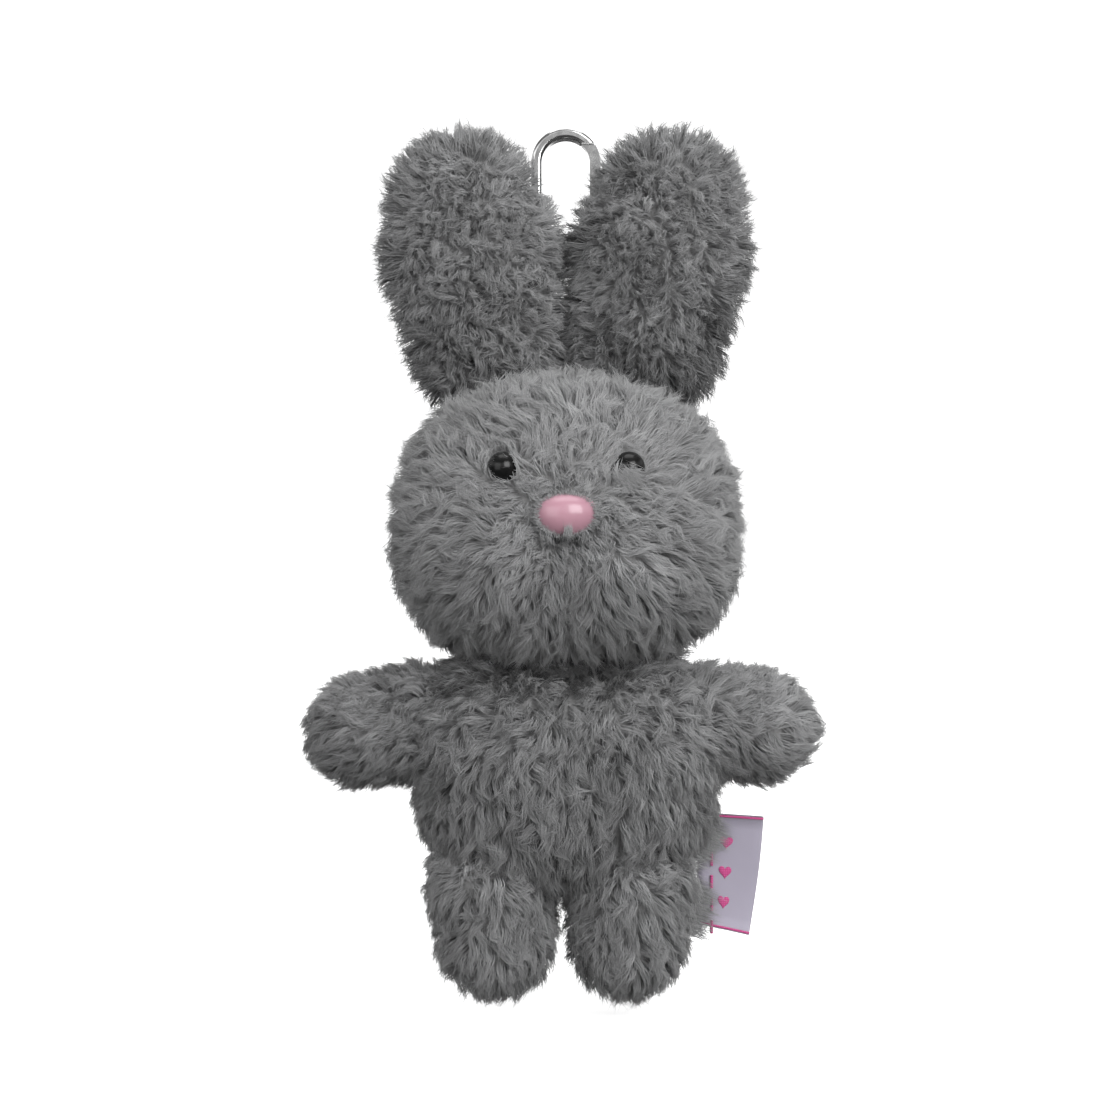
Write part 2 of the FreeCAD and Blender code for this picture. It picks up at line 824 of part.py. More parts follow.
def stadium(sketch, radius, length):
    """A closed slot outline around the local Y axis, its upper centre at the origin."""
    first = sketch.GeometryCount
    r, long = number(radius), number(length)
    sketch.addGeometry(arc(0, 0, r, 0, 180))
    sketch.addGeometry(line(-r, 0, -r, -long))
    sketch.addGeometry(arc(0, -long, r, 180, 360))
    sketch.addGeometry(line(r, -long, r, 0))
    for index in range(4):
        tie(sketch, "Tangent", first + index, 2, first + (index + 1) % 4, 1)
    tie(sketch, "Coincident", first, 3, -1, 1)
    tie(sketch, "PointOnObject", first + 2, 3, -2)
    bound(sketch, "Radius", first, radius)
    bound(sketch, "DistanceY", first + 2, 3, first, 3, length)


def make_hang_loop():
    """A folded ribbon that goes round the swivel eye's lower bar and into the head."""
    body = new_body("hang_loop_ribbon")
    inner = "Sizes.eye_wire_radius + Sizes.bar_clearance"
    outer = inner + " + Sizes.ribbon_thickness"
    drop = f"Sizes.bar_height - Sizes.loop_bottom - ({outer})"
    outline = new_sketch(body, "loop_outline", "YZ_Plane")
    stadium(outline, outer, drop)
    pad(body, outline, "Sizes.loop_width")
    hole = new_sketch(body, "loop_hole", "YZ_Plane")
    stadium(hole, inner, drop)
    pocket(body, hole, "Sizes.loop_width + 1")
    place(body, z=above_feet("bar_height"))
    node(body, "hang_loop")


def make_side_label():
    """Two plies of woven tape joined by their fold, at the far edge."""
    height = "Sizes.label_height"
    outer = f"(Sizes.label_gap + 2 * Sizes.label_ply)"
    base = above_feet("label_middle") + f" - {height} / 2"
    tape = box("label_tape", ("Sizes.label_reach", outer, height),
               ("Sizes.label_root", f"-{outer} / 2", base))
    gap = box("label_inside", ("Sizes.label_reach - Sizes.label_ply", "Sizes.label_gap",
                               f"{height} + 2"),
              ("Sizes.label_root - 0.0001", "-Sizes.label_gap / 2", f"{base} - 1"))
    node(cut("label_folded", tape, gap), "side_label")


# Clasp: everything is measured from the centre of the hook opening


def hook_outline(body):
    sketch = new_sketch(body, "hook_outline")
    r, low = number("Sizes.hook_outer_radius"), number("Sizes.base_bottom")
    shoulder, half = number("Sizes.base_shoulder"), number("Sizes.base_half_width")
    sketch.addGeometry(arc(0, 0, r, 0, 180))
    sketch.addGeometry(line(-r, 0, -r, -shoulder))
    sketch.addGeometry(line(-r, -shoulder, -half, -low))
    sketch.addGeometry(line(-half, -low, half, -low))
    sketch.addGeometry(line(half, -low, r, -shoulder))
    sketch.addGeometry(line(r, -shoulder, r, 0))
    chain(sketch, 6)
    tie(sketch, "Coincident", 0, 3, -1, 1)
    tie(sketch, "PointOnObject", 0, 1, -1)
    tie(sketch, "PointOnObject", 0, 2, -1)
    tie(sketch, "Vertical", 1)
    tie(sketch, "Horizontal", 3)
    tie(sketch, "Vertical", 5)
    bound(sketch, "Radius", 0, "Sizes.hook_outer_radius")
    bound(sketch, "DistanceY", 1, 2, -1, 1, "Sizes.base_shoulder")
    bound(sketch, "DistanceY", 5, 1, -1, 1, "Sizes.base_shoulder")
    bound(sketch, "DistanceY", 2, 2, -1, 1, "Sizes.base_bottom")
    bound(sketch, "DistanceX", 2, 2, -1, 1, "Sizes.base_half_width")
    bound(sketch, "DistanceX", -1, 1, 3, 2, "Sizes.base_half_width")
    return sketch


def turned_step(body, name, radius, top, bottom):
    """A sketch of a rectangle beside the Z axis, for a turned boss or bore."""
    sketch = new_sketch(body, name)
    r, high, low = number(radius), -number(top), -number(bottom)
    sketch.addGeometry(line(0, low, r, low))
    sketch.addGeometry(line(r, low, r, high))
    sketch.addGeometry(line(r, high, 0, high))
    sketch.addGeometry(line(0, high, 0, low))
    chain(sketch, 4)
    tie(sketch, "PointOnObject", 0, 1, -2)
    tie(sketch, "PointOnObject", 3, 1, -2)
    tie(sketch, "Horizontal", 0)
    tie(sketch, "Vertical", 1)
    tie(sketch, "Horizontal", 2)
    bound(sketch, "DistanceX", 0, 1, 0, 2, radius)
    bound(sketch, "DistanceY", 2, 2, -1, 1, top)
    bound(sketch, "DistanceY", 0, 1, -1, 1, bottom)
    return sketch


def slot_cut(body, name, size, low):
    """A box taken out of a body; sizes and lowest corner are expressions."""
    block = body.newObject("PartDesign::SubtractiveBox", name)
    for prop, text in zip(("Length", "Width", "Height"), size):
        block.setExpression(prop, text)
    place(block, *low)
    body.Tip = block
    return block


def circle_sketch(body, name, x, drop, radius):
    sketch = new_sketch(body, name)
    middle = point(number(x), -number(drop))
    sketch.addGeometry(Part.Circle(middle, FreeCAD.Vector(0, 0, 1), number(radius)))
    bound(sketch, "Radius", 0, radius)
    bound(sketch, "DistanceX", -1, 1, 0, 3, x)
    bound(sketch, "DistanceY", 0, 3, -1, 1, drop)
    return sketch


def round_outer_edges(body, base, name, radius):
    """Rounds the front and back rims of a padded outline."""
    doc.recompute()
    rims = []
    half = number("Sizes.hook_thickness") / 2
    for index, edge in enumerate(base.Shape.Edges, start=1):
        ends = [v.Point.y for v in edge.Vertexes]
        if all(abs(abs(y) - half) < 0.001 for y in ends) and abs(sum(ends)) > half:
            rims.append(f"Edge{index}")
    rounded = body.newObject("PartDesign::Fillet", name)
    rounded.Base = (base, rims)
    rounded.setExpression("Radius", radius)
    body.Tip = rounded
    return rounded


def make_clasp_hook():
    body = new_body("clasp_casting")
    outline = hook_outline(body)
    block = pad(body, outline, "Sizes.hook_thickness")
    opening = new_sketch(body, "hook_opening")
    stadium(opening, "Sizes.hook_inner_radius", "Sizes.opening_drop")
    frame = pocket(body, opening, "Sizes.hook_thickness + 1")
    round_outer_edges(body, frame, "hook_rounding", "Sizes.hook_round")
    collar = turned_step(body, "collar", "Sizes.collar_radius", "Sizes.collar_top",
                         "Sizes.base_bottom")
    revolve(body, collar)
    full = "(Sizes.hook_thickness + 4)"
    slot_cut(body, "mouth", ("6", full, "Sizes.nose_face + Sizes.mouth_bottom"),
             ("Sizes.gate_slot_left", f"-{full} / 2", "-Sizes.mouth_bottom"))
    slot = "Sizes.gate_slot_width"
    slot_cut(body, "gate_slot",
             ("6", slot, "Sizes.gate_slot_bottom - Sizes.mouth_bottom + 0.1"),
             ("Sizes.gate_slot_left + 0.8", f"-{slot} / 2", "-Sizes.gate_slot_bottom"))
    hole = circle_sketch(body, "pin_hole", "Sizes.pin_offset", "Sizes.pin_drop",
                         "Sizes.pin_radius + Sizes.pin_clearance / 2")
    pocket(body, hole, "Sizes.hook_thickness + 4")
    cavity = turned_step(body, "rivet_cavity", "Sizes.rivet_radius + Sizes.post_clearance",
                         "Sizes.cavity_top", "Sizes.cavity_bottom")
    groove(body, cavity)
    bore = turned_step(body, "post_bore", "Sizes.post_radius + Sizes.post_clearance",
                       "Sizes.cavity_bottom - 0.1", "Sizes.base_bottom + 1")
    groove(body, bore)
    node(body, "clasp_hook")


def make_clasp_gate():
    """The gate closes the hook's mouth; its boss turns on the pin."""
    body = new_body("gate_lever")
    sketch = new_sketch(body, "gate_outline")
    r_out, r_in = number("Sizes.hook_outer_radius"), number("Sizes.hook_inner_radius")
    top, boss = number("Sizes.gate_top"), number("Sizes.gate_boss_radius")
    px, pz = number("Sizes.pin_offset"), -number("Sizes.pin_drop")
    out_angle, in_angle = math.asin(top / r_out), math.asin(top / r_in)
    mouth = -number("Sizes.mouth_bottom")
    sketch.addGeometry(arc(0, 0, r_out, 0, math.degrees(out_angle)))
    sketch.addGeometry(line(r_out * math.cos(out_angle), top, r_in * math.cos(in_angle), top))
    inner = arc(0, 0, r_in, 0, math.degrees(in_angle))
    sketch.addGeometry(inner)
    sketch.addGeometry(line(r_in, 0, r_in, mouth))
    sketch.addGeometry(line(r_in, mouth, px - boss, pz))
    sketch.addGeometry(arc(px, pz, boss, 180, 360))
    sketch.addGeometry(line(px + boss, pz, r_out, mouth))
    sketch.addGeometry(line(r_out, mouth, r_out, 0))
    tie(sketch, "Coincident", 0, 2, 1, 1)
    tie(sketch, "Coincident", 1, 2, 2, 2)
    tie(sketch, "Coincident", 2, 1, 3, 1)
    for index in range(3, 7):
        tie(sketch, "Coincident", index, 2, index + 1, 1)
    tie(sketch, "Coincident", 7, 2, 0, 1)
    tie(sketch, "Coincident", 0, 3, -1, 1)
    tie(sketch, "Coincident", 2, 3, -1, 1)
    tie(sketch, "Horizontal", 1)
    tie(sketch, "Vertical", 3)
    tie(sketch, "Vertical", 7)
    tie(sketch, "PointOnObject", 0, 1, -1)
    tie(sketch, "PointOnObject", 2, 1, -1)
    bound(sketch, "Radius", 0, "Sizes.hook_outer_radius")
    bound(sketch, "Radius", 2, "Sizes.hook_inner_radius")
    bound(sketch, "Radius", 5, "Sizes.gate_boss_radius")
    bound(sketch, "DistanceY", -1, 1, 1, 1, "Sizes.gate_top")
    bound(sketch, "DistanceY", 3, 2, -1, 1, "Sizes.mouth_bottom")
    bound(sketch, "DistanceY", 7, 1, -1, 1, "Sizes.mouth_bottom")
    bound(sketch, "DistanceX", -1, 1, 5, 3, "Sizes.pin_offset")
    bound(sketch, "DistanceY", 5, 3, -1, 1, "Sizes.pin_drop")
    pad(body, sketch, "Sizes.gate_thickness")
    thumb = circle_sketch(body, "thumb_piece", "Sizes.hook_outer_radius",
                          "Sizes.thumb_drop", "Sizes.thumb_radius")
    pad(body, thumb, "Sizes.gate_thickness")
    hole = circle_sketch(body, "gate_hole", "Sizes.pin_offset", "Sizes.pin_drop",
                         "Sizes.pin_radius + Sizes.pin_clearance")
    pocket(body, hole, "Sizes.gate_thickness + 1")
    node(body, "clasp_gate")


def make_gate_pin():
    body = new_body("pin_rivet")
    sketch = circle_sketch(body, "pin_section", "Sizes.pin_offset", "Sizes.pin_drop",
                           "Sizes.pin_radius")
    pad(body, sketch, "Sizes.hook_thickness")
    node(body, "gate_pin")


def make_gate_spring():
    """A small coil that pushes on the gate's boss."""
    body = new_body("gate_coil")
    sketch = new_sketch(body, "spring_section")
    wire = number("Sizes.spring_wire")
    middle = point(number("Sizes.spring_radius"), wire)
    sketch.addGeometry(Part.Circle(middle, FreeCAD.Vector(0, 0, 1), wire))
    bound(sketch, "Radius", 0, "Sizes.spring_wire")
    bound(sketch, "DistanceX", -1, 1, 0, 3, "Sizes.spring_radius")
    bound(sketch, "DistanceY", -1, 1, 0, 3, "Sizes.spring_wire")
    coil = body.newObject("PartDesign::AdditiveHelix", "spring_coil")
    coil.Profile = sketch
    coil.ReferenceAxis = (sketch, ["V_Axis"])
    coil.Mode = 1
    height = "(Sizes.spring_length - 2 * Sizes.spring_wire)"
    coil.setExpression("Pitch", f"{height} / Sizes.spring_turns")
    coil.setExpression("Turns", "Sizes.spring_turns")
    body.Tip = coil
    place(body, x="Sizes.spring_offset", z="-Sizes.spring_drop")
    node(body, "gate_spring")


def ring_path(body):
    """The swivel eye's centre line: a rounded rectangle above its lower bar."""
    sketch = new_sketch(body, "ring_path")
    half, tall = number("Sizes.ring_half_width"), 2 * number("Sizes.ring_half_height")
    c = number("Sizes.ring_corner")
    sketch.addGeometry(line(0, 0, half - c, 0))
    sketch.addGeometry(arc(half - c, c, c, -90, 0))
    sketch.addGeometry(line(half, c, half, tall - c))
    sketch.addGeometry(arc(half - c, tall - c, c, 0, 90))
    sketch.addGeometry(line(half - c, tall, c - half, tall))
    sketch.addGeometry(arc(c - half, tall - c, c, 90, 180))
    sketch.addGeometry(line(-half, tall - c, -half, c))
    sketch.addGeometry(arc(c - half, c, c, 180, 270))
    sketch.addGeometry(line(c - half, 0, 0, 0))
    chain(sketch, 9, smooth=(0, 1, 2, 3, 4, 5, 6, 7))
    tie(sketch, "Coincident", 0, 1, -1, 1)
    tie(sketch, "Horizontal", 0)
    tie(sketch, "Horizontal", 4)
    tie(sketch, "Vertical", 2)
    tie(sketch, "Vertical", 6)
    for index in (1, 3, 5, 7):
        bound(sketch, "Radius", index, "Sizes.ring_corner")
    bound(sketch, "DistanceX", -1, 1, 2, 1, "Sizes.ring_half_width")
    bound(sketch, "DistanceX", 6, 1, -1, 1, "Sizes.ring_half_width")
    bound(sketch, "DistanceY", -1, 1, 4, 1, "2 * Sizes.ring_half_height")
    return sketch


def make_swivel_eye():
    """A wire ring for the ribbon, with a riveted post that turns in the clasp's collar."""
    body = new_body("eye_casting")
    path = ring_path(body)
    section = new_sketch(body, "ring_section", "YZ_Plane")
    wire = number("Sizes.eye_wire_radius")
    section.addGeometry(Part.Circle(point(0, 0), FreeCAD.Vector(0, 0, 1), wire))
    tie(section, "Coincident", 0, 3, -1, 1)
    bound(section, "Radius", 0, "Sizes.eye_wire_radius")
    ring = body.newObject("PartDesign::AdditivePipe", "ring_wire")
    ring.Profile = section
    ring.Spine = (path, [])
    body.Tip = ring
    bar_drop = "(Sizes.hang_height - Sizes.bar_height)"
    rivet_top = f"(Sizes.cavity_top + 0.15 - {bar_drop})"
    rivet_bottom = f"(Sizes.cavity_top + 0.15 + Sizes.rivet_thickness - {bar_drop})"
    post = turned_step(body, "post", "Sizes.post_radius", rivet_top,
                       "(-2 * Sizes.ring_half_height)")
    revolve(body, post)
    head = turned_step(body, "rivet_head", "Sizes.rivet_radius", rivet_top, rivet_bottom)
    revolve(body, head)
    place(body, z=above_feet("bar_height"))
    node(body, "swivel_eye")


def check_and_write():
    doc.recompute()
    wrong = [o.Name for o in doc.Objects if {"Invalid", "Error"} & set(o.State)]
    for item in NODES:
        shape = item.Shape
        if shape.isNull() or not shape.isValid() or not shape.Solids:
            wrong.append(item.Label)
    if wrong:
        raise RuntimeError("failed objects: " + ", ".join(wrong))
    os.makedirs("parts", exist_ok=True)
    for item in NODES:
        item.Shape.exportStep(f"parts/{item.Label}.step")
        print(item.Label, len(item.Shape.Solids), round(item.Shape.Volume, 2))


SHEET = make_sheet()
make_head()
EAR_SEAT = ear_seat()
for ear_side, ear_word in ((-1, "left"), (1, "right")):
    make_ear(ear_side, ear_word, EAR_SEAT)
make_torso()
for limb_kind in ("arm", "leg"):
    make_limb(limb_kind, -1, "left")
    make_limb(limb_kind, 1, "right")
make_neck_stitching()
make_closing_stitching()
make_hang_loop()
make_loop_stitching()
make_side_label()
make_label_stitching()
make_clasp_hook()
make_clasp_gate()
make_gate_pin()
make_gate_spring()
make_swivel_eye()
check_and_write()
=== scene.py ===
"""Looks for the plush bunny keychain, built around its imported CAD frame.

Metres, +Z up, the face looks towards -Y.
"""

import json
import math

import bmesh
import bpy
import numpy as np
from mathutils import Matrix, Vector, kdtree


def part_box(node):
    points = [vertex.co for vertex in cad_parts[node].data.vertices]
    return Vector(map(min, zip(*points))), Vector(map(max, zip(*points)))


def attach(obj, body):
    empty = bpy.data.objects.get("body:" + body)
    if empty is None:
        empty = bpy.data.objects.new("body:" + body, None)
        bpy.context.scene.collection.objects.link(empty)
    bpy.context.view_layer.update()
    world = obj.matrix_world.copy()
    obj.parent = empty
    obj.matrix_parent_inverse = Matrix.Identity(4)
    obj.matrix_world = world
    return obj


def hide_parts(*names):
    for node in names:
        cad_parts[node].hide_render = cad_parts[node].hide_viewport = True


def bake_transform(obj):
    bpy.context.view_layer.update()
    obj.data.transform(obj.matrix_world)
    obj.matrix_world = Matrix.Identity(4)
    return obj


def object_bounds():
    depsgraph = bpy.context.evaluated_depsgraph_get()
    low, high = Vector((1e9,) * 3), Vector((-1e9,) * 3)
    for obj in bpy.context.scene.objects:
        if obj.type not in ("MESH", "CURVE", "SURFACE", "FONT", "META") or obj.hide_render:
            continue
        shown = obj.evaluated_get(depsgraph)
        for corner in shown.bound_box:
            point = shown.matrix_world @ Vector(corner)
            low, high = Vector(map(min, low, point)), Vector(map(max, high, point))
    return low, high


MM = 0.001

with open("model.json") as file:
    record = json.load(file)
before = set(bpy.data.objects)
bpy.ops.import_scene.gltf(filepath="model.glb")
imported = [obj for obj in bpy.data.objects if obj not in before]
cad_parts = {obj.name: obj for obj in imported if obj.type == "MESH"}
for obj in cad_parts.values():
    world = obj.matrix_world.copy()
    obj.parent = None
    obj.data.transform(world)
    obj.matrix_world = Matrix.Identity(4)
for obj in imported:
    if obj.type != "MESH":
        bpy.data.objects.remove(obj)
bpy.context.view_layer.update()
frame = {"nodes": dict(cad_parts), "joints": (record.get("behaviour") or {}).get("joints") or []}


# ---- places, from the frame


def span(*nodes):
    """Lowest and highest corners of several CAD nodes together, as arrays."""
    boxes = [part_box(node) for node in nodes]
    low = np.min([np.array(b[0]) for b in boxes], axis=0)
    high = np.max([np.array(b[1]) for b in boxes], axis=0)
    return low, high


def joint_place(name):
    """The pivot of a joint in the record, as an array."""
    return np.array([j["pos_m"] for j in frame["joints"] if j["name"] == name][0])


def unit_rows(vectors):
    return vectors / np.maximum(np.linalg.norm(vectors, axis=-1, keepdims=True), 1e-12)


HEAD_LOW, HEAD_HIGH = span("face_panel", "head_back_panel")
HEAD_MID = (HEAD_LOW + HEAD_HIGH) / 2
HEAD_HALF = (HEAD_HIGH - HEAD_LOW) / 2
TORSO_LOW, TORSO_HIGH = span("torso_front_panel", "torso_back_panel")
TORSO_MID = (TORSO_LOW + TORSO_HIGH) / 2
TORSO_HALF = (TORSO_HIGH - TORSO_LOW) / 2
NOSE_LOW, NOSE_HIGH = span("nose")
NOSE_MID = (NOSE_LOW + NOSE_HIGH) / 2
NOSE_TIP = np.array([NOSE_MID[0], NOSE_LOW[1], NOSE_MID[2]])
EYES = {side: span("eye_" + side) for side in ("left", "right")}
EYE_AXES = {side: (box[0] + box[1]) / 2 for side, box in EYES.items()}
FEET = min(span("leg_left_front_panel")[0][2], span("leg_right_front_panel")[0][2])
SIDES = {"left": -1, "right": 1}


# ---- soft skins


# The skins lie this far inside the panels, which stand for backing and pile together
BACKING_DEPTH = 1.4 * MM

# The cloth solver works on an enlarged copy; no point moves further than the cap
SIM_SCALE = 20.0
SIM_FRAMES = 20
SIM_CAP = 1.2 * MM
SEAM_BAND = 0.9 * MM


def unit_ball(cuts):
    """Points and quads of a sphere with even faces."""
    bm = bmesh.new()
    bmesh.ops.create_cube(bm, size=2)
    bmesh.ops.subdivide_edges(bm, edges=bm.edges[:], cuts=cuts, use_grid_fill=True)
    points = np.array([v.co.normalized() for v in bm.verts])
    faces = [[v.index for v in f.verts] for f in bm.faces]
    bm.free()
    return points, faces


def new_object(name, data):
    obj = bpy.data.objects.new(name, data)
    bpy.context.scene.collection.objects.link(obj)
    return obj


def new_mesh(name, points, faces):
    """A smooth-shaded piece from points and faces."""
    mesh = bpy.data.meshes.new(name)
    mesh.from_pydata([tuple(p) for p in points], [], faces)
    mesh.polygons.foreach_set("use_smooth", np.ones(len(faces), bool))
    mesh.update()
    return new_object(name, mesh)


def vertex_rows(mesh, kind="co"):
    """The place, or with kind "normal" the normal, of every vertex."""
    flat = np.zeros(len(mesh.vertices) * 3, np.float32)
    mesh.vertices.foreach_get(kind, flat)
    return flat.reshape(-1, 3).astype(float)


def set_coordinates(mesh, points):
    mesh.vertices.foreach_set("co", np.asarray(points, np.float32).ravel())
    mesh.update()


def puff(obj, seam_axis, seam_place):
    """Inflates a sewn lump as cloth, held along its seam plane."""
    start = vertex_rows(obj.data)
    set_coordinates(obj.data, start * SIM_SCALE)
    held = obj.vertex_groups.new(name="seam")
    near = np.abs(start[:, seam_axis] - seam_place) < SEAM_BAND
    held.add([int(i) for i in np.nonzero(near)[0]], 1.0, "REPLACE")
    cloth = obj.modifiers.new("filling", "CLOTH")
    settings = cloth.settings
    settings.quality = 6
    settings.mass = 0.2
    settings.tension_stiffness = 12
    settings.compression_stiffness = 12
    settings.bending_stiffness = 0.4
    settings.use_pressure = True
    settings.uniform_pressure_force = 5.0
    settings.vertex_group_mass = "seam"
    settings.effector_weights.gravity = 0
    cloth.point_cache.frame_end = SIM_FRAMES
    scene = bpy.context.scene
    for step in range(1, SIM_FRAMES + 1):
        scene.frame_set(step)
    evaluated = obj.evaluated_get(bpy.context.evaluated_depsgraph_get())
    swollen = vertex_rows(evaluated.to_mesh()) / SIM_SCALE
    evaluated.to_mesh_clear()
    obj.modifiers.remove(cloth)
    obj.vertex_groups.clear()
    scene.frame_set(1)
    move = swollen - start
    length = np.linalg.norm(move, axis=1, keepdims=True)
    move *= np.minimum(1.0, SIM_CAP / np.maximum(length, 1e-9))
    set_coordinates(obj.data, start + move)


def hump(points, centre, spread):
    """A soft bump weight, 1 at the centre; spread gives its width on each axis."""
    away = (points - centre) / spread
    return np.exp(-0.5 * (away**2).sum(axis=1))


def head_shape(unit):
    """A wide head, fuller below than above, with two muzzle lobes and a furrow between them."""
    full = np.where(unit[:, 2] < 0, 2.6, 2.2)[:, None]
    size = (np.abs(unit) ** full).sum(axis=1, keepdims=True) ** (1 / full)
    half = (HEAD_HALF - BACKING_DEPTH) * np.array([0.95, 1, 1])
    points = HEAD_MID + unit / size * half
    front = np.clip(-unit[:, 1], 0, 1)
    forward = np.zeros(len(points))
    for side in (-1, 1):
        cheek = NOSE_TIP + np.array([side * 9.5, 0, -11.0]) * MM
        forward += 2.4 * hump(points, cheek, np.array([7.0, 30.0, 6.0]) * MM)
        eye = EYE_AXES["right"] * np.array([side, 1, 1])
        forward -= 1.0 * hump(points, eye, np.array([3.5, 30.0, 3.0]) * MM)
    furrow = NOSE_TIP + np.array([0, 0, -14.0]) * MM
    forward -= 2.6 * hump(points, furrow, np.array([2.2, 30.0, 7.0]) * MM)
    points[:, 1] -= forward * front * MM
    return points


def torso_shape(unit):
    """A rounded block, rounder at the hips than at the shoulders, its top raised at the neck."""
    full = np.where(unit[:, 2] > 0, 4.2, 2.7)[:, None]
    size = (np.abs(unit) ** full).sum(axis=1, keepdims=True) ** (1 / full)
    half = TORSO_HALF - BACKING_DEPTH
    points = TORSO_MID + unit / size * half
    slope = np.exp(-(((points[:, 0] - TORSO_MID[0]) / (26 * MM)) ** 2))
    points[:, 2] += 4.0 * MM * slope * np.clip(unit[:, 2] / size[:, 0], 0, 1) ** 2
    return points


# The share of the unit ball's height that becomes the lobe's straight part
LOBE_BAND = 0.45


def lobe_shape(unit, foot, top, radii, places, flat):
    """A round-ended lobe from foot to top.

    Its radii are given at places along it, from 0 to 1; flat scales its depth.
    """
    axis = (top - foot) / np.linalg.norm(top - foot)
    along = (unit @ axis)[:, None]
    across = unit_rows(unit - along * axis)
    share = np.clip(along / (2 * LOBE_BAND) + 0.5, 0, 1)
    beyond = np.clip((np.abs(along) - LOBE_BAND) / (1 - LOBE_BAND), 0, 1) * math.pi / 2
    outward = across * np.cos(beyond) + np.sign(along) * axis * np.sin(beyond)
    radius = np.interp(share, places, radii)
    return foot + (top - foot) * share + outward * radius * np.array([1, flat, 1])


def skin(name, shape, cuts, seam_axis, seam_place):
    """A shaped and puffed lump, from a function that places the unit ball's points."""
    points, faces = unit_ball(cuts)
    obj = new_mesh(name, shape(points), faces)
    puff(obj, seam_axis, seam_place)
    return obj


# The ear's foot: how far it sits in the head, and how far in towards the middle; its tip's lean
EAR_SEAT_SHARE = 0.86
EAR_FOOT_IN = 0.92
EAR_TIP_LEAN = 0.52
EAR_PLACES = (0.0, 0.3, 0.5, 0.62, 0.8, 1.0)
EAR_RADII = (0.80, 0.91, 0.98, 1.02, 0.99, 0.82)


def ear_skin(word):
    """An ear: narrow at its foot, widest above the middle and leaning outwards."""
    low, high = span(*panels_of(f"ear_{word}"))
    mid = (low + high) / 2
    hinge = joint_place(f"ear_{word}_flop")
    inner_edge = min(abs(low[0]), abs(high[0]))
    wide = (high[0] - low[0]) / 2 - BACKING_DEPTH
    deep = (high[1] - low[1]) / 2 - BACKING_DEPTH
    narrow = abs(hinge[0]) - inner_edge - BACKING_DEPTH
    tip = EAR_RADII[-1] * wide
    radii = [max(narrow, wide * EAR_RADII[0])] + [wide * share for share in EAR_RADII[1:]]
    foot = np.array([hinge[0] * EAR_FOOT_IN, mid[1], hinge[2] + EAR_SEAT_SHARE * narrow])
    top = np.array([0, mid[1], high[2] - BACKING_DEPTH - tip])
    top[0] = mid[0] + (mid[0] - foot[0]) * EAR_TIP_LEAN

    def shape(unit):
        return lobe_shape(unit, foot, top, radii, EAR_PLACES, deep / wide)

    return skin(f"skin_ear_{word}", shape, 18, 1, mid[1])


LIMB_TIP = 0.94
LIMB_ROOTS = {"arm": 1.0, "leg": 1.12}

# How far each limb's stuffing has settled from the plain form: its root, then its tip, in mm
SETTLED = {
    "arm_left": ((0, 0, 1.9), (-1.5, 0, 0.5)),
    "arm_right": ((0, 0, 2.0), (0, 0, 1.0)),
    "leg_left": ((-0.9, 0, 0), (-0.2, 0, 0)),
    "leg_right": ((-0.5, 0, 0), (-1.2, 0, 0)),
}


def limb_skin(kind, word, joint, direction):
    """An arm or a leg: a lobe from its joint along direction, as long as its panels."""
    low, high = span(*panels_of(f"{kind}_{word}"))
    radius = (high[1] - low[1]) / 2 - BACKING_DEPTH
    pivot = joint_place(joint)
    reach = np.abs(high - low) @ np.abs(direction) - 2 * (radius + BACKING_DEPTH)
    root_move, tip_move = (np.array(move) * MM for move in SETTLED[f"{kind}_{word}"])
    root, tip = pivot + root_move, pivot + np.array(direction) * reach + tip_move
    radii = (radius * LIMB_ROOTS[kind], radius * LIMB_TIP)

    def shape(unit):
        return lobe_shape(unit, root, tip, radii, (0, 1), 1.0)

    return skin(f"skin_{kind}_{word}", shape, 14, 1, pivot[1])


# ---- fur


# A strand's rings along its length and their widths, and the most strands in one piece
RINGS = np.array([0.0, 0.52, 1.0])
TAPER = np.array([1.0, 0.82, 0.0])
SIDES_OF_HAIR = 3
MOST_STRANDS = 19800
ROOT_DEPTH = 0.4 * MM

# How far a strand's shading follows the skin under it instead of its own roundness
SOFTNESS = 0.55


def everywhere(points, normals):
    return np.ones(len(points), bool)


def strand_faces():
    """One closed strand: a base, two collars of quads and a tip of triangles."""
    faces = [[0, 2, 1]]
    rings = len(RINGS) - 1
    for ring in range(rings - 1):
        for j in range(SIDES_OF_HAIR):
            a = ring * SIDES_OF_HAIR + j
            b = ring * SIDES_OF_HAIR + (j + 1) % SIDES_OF_HAIR
            faces.append([a, b, b + SIDES_OF_HAIR, a + SIDES_OF_HAIR])
    last = (rings - 1) * SIDES_OF_HAIR
    for j in range(SIDES_OF_HAIR):
        faces.append([last + j, last + (j + 1) % SIDES_OF_HAIR, rings * SIDES_OF_HAIR])
    return faces


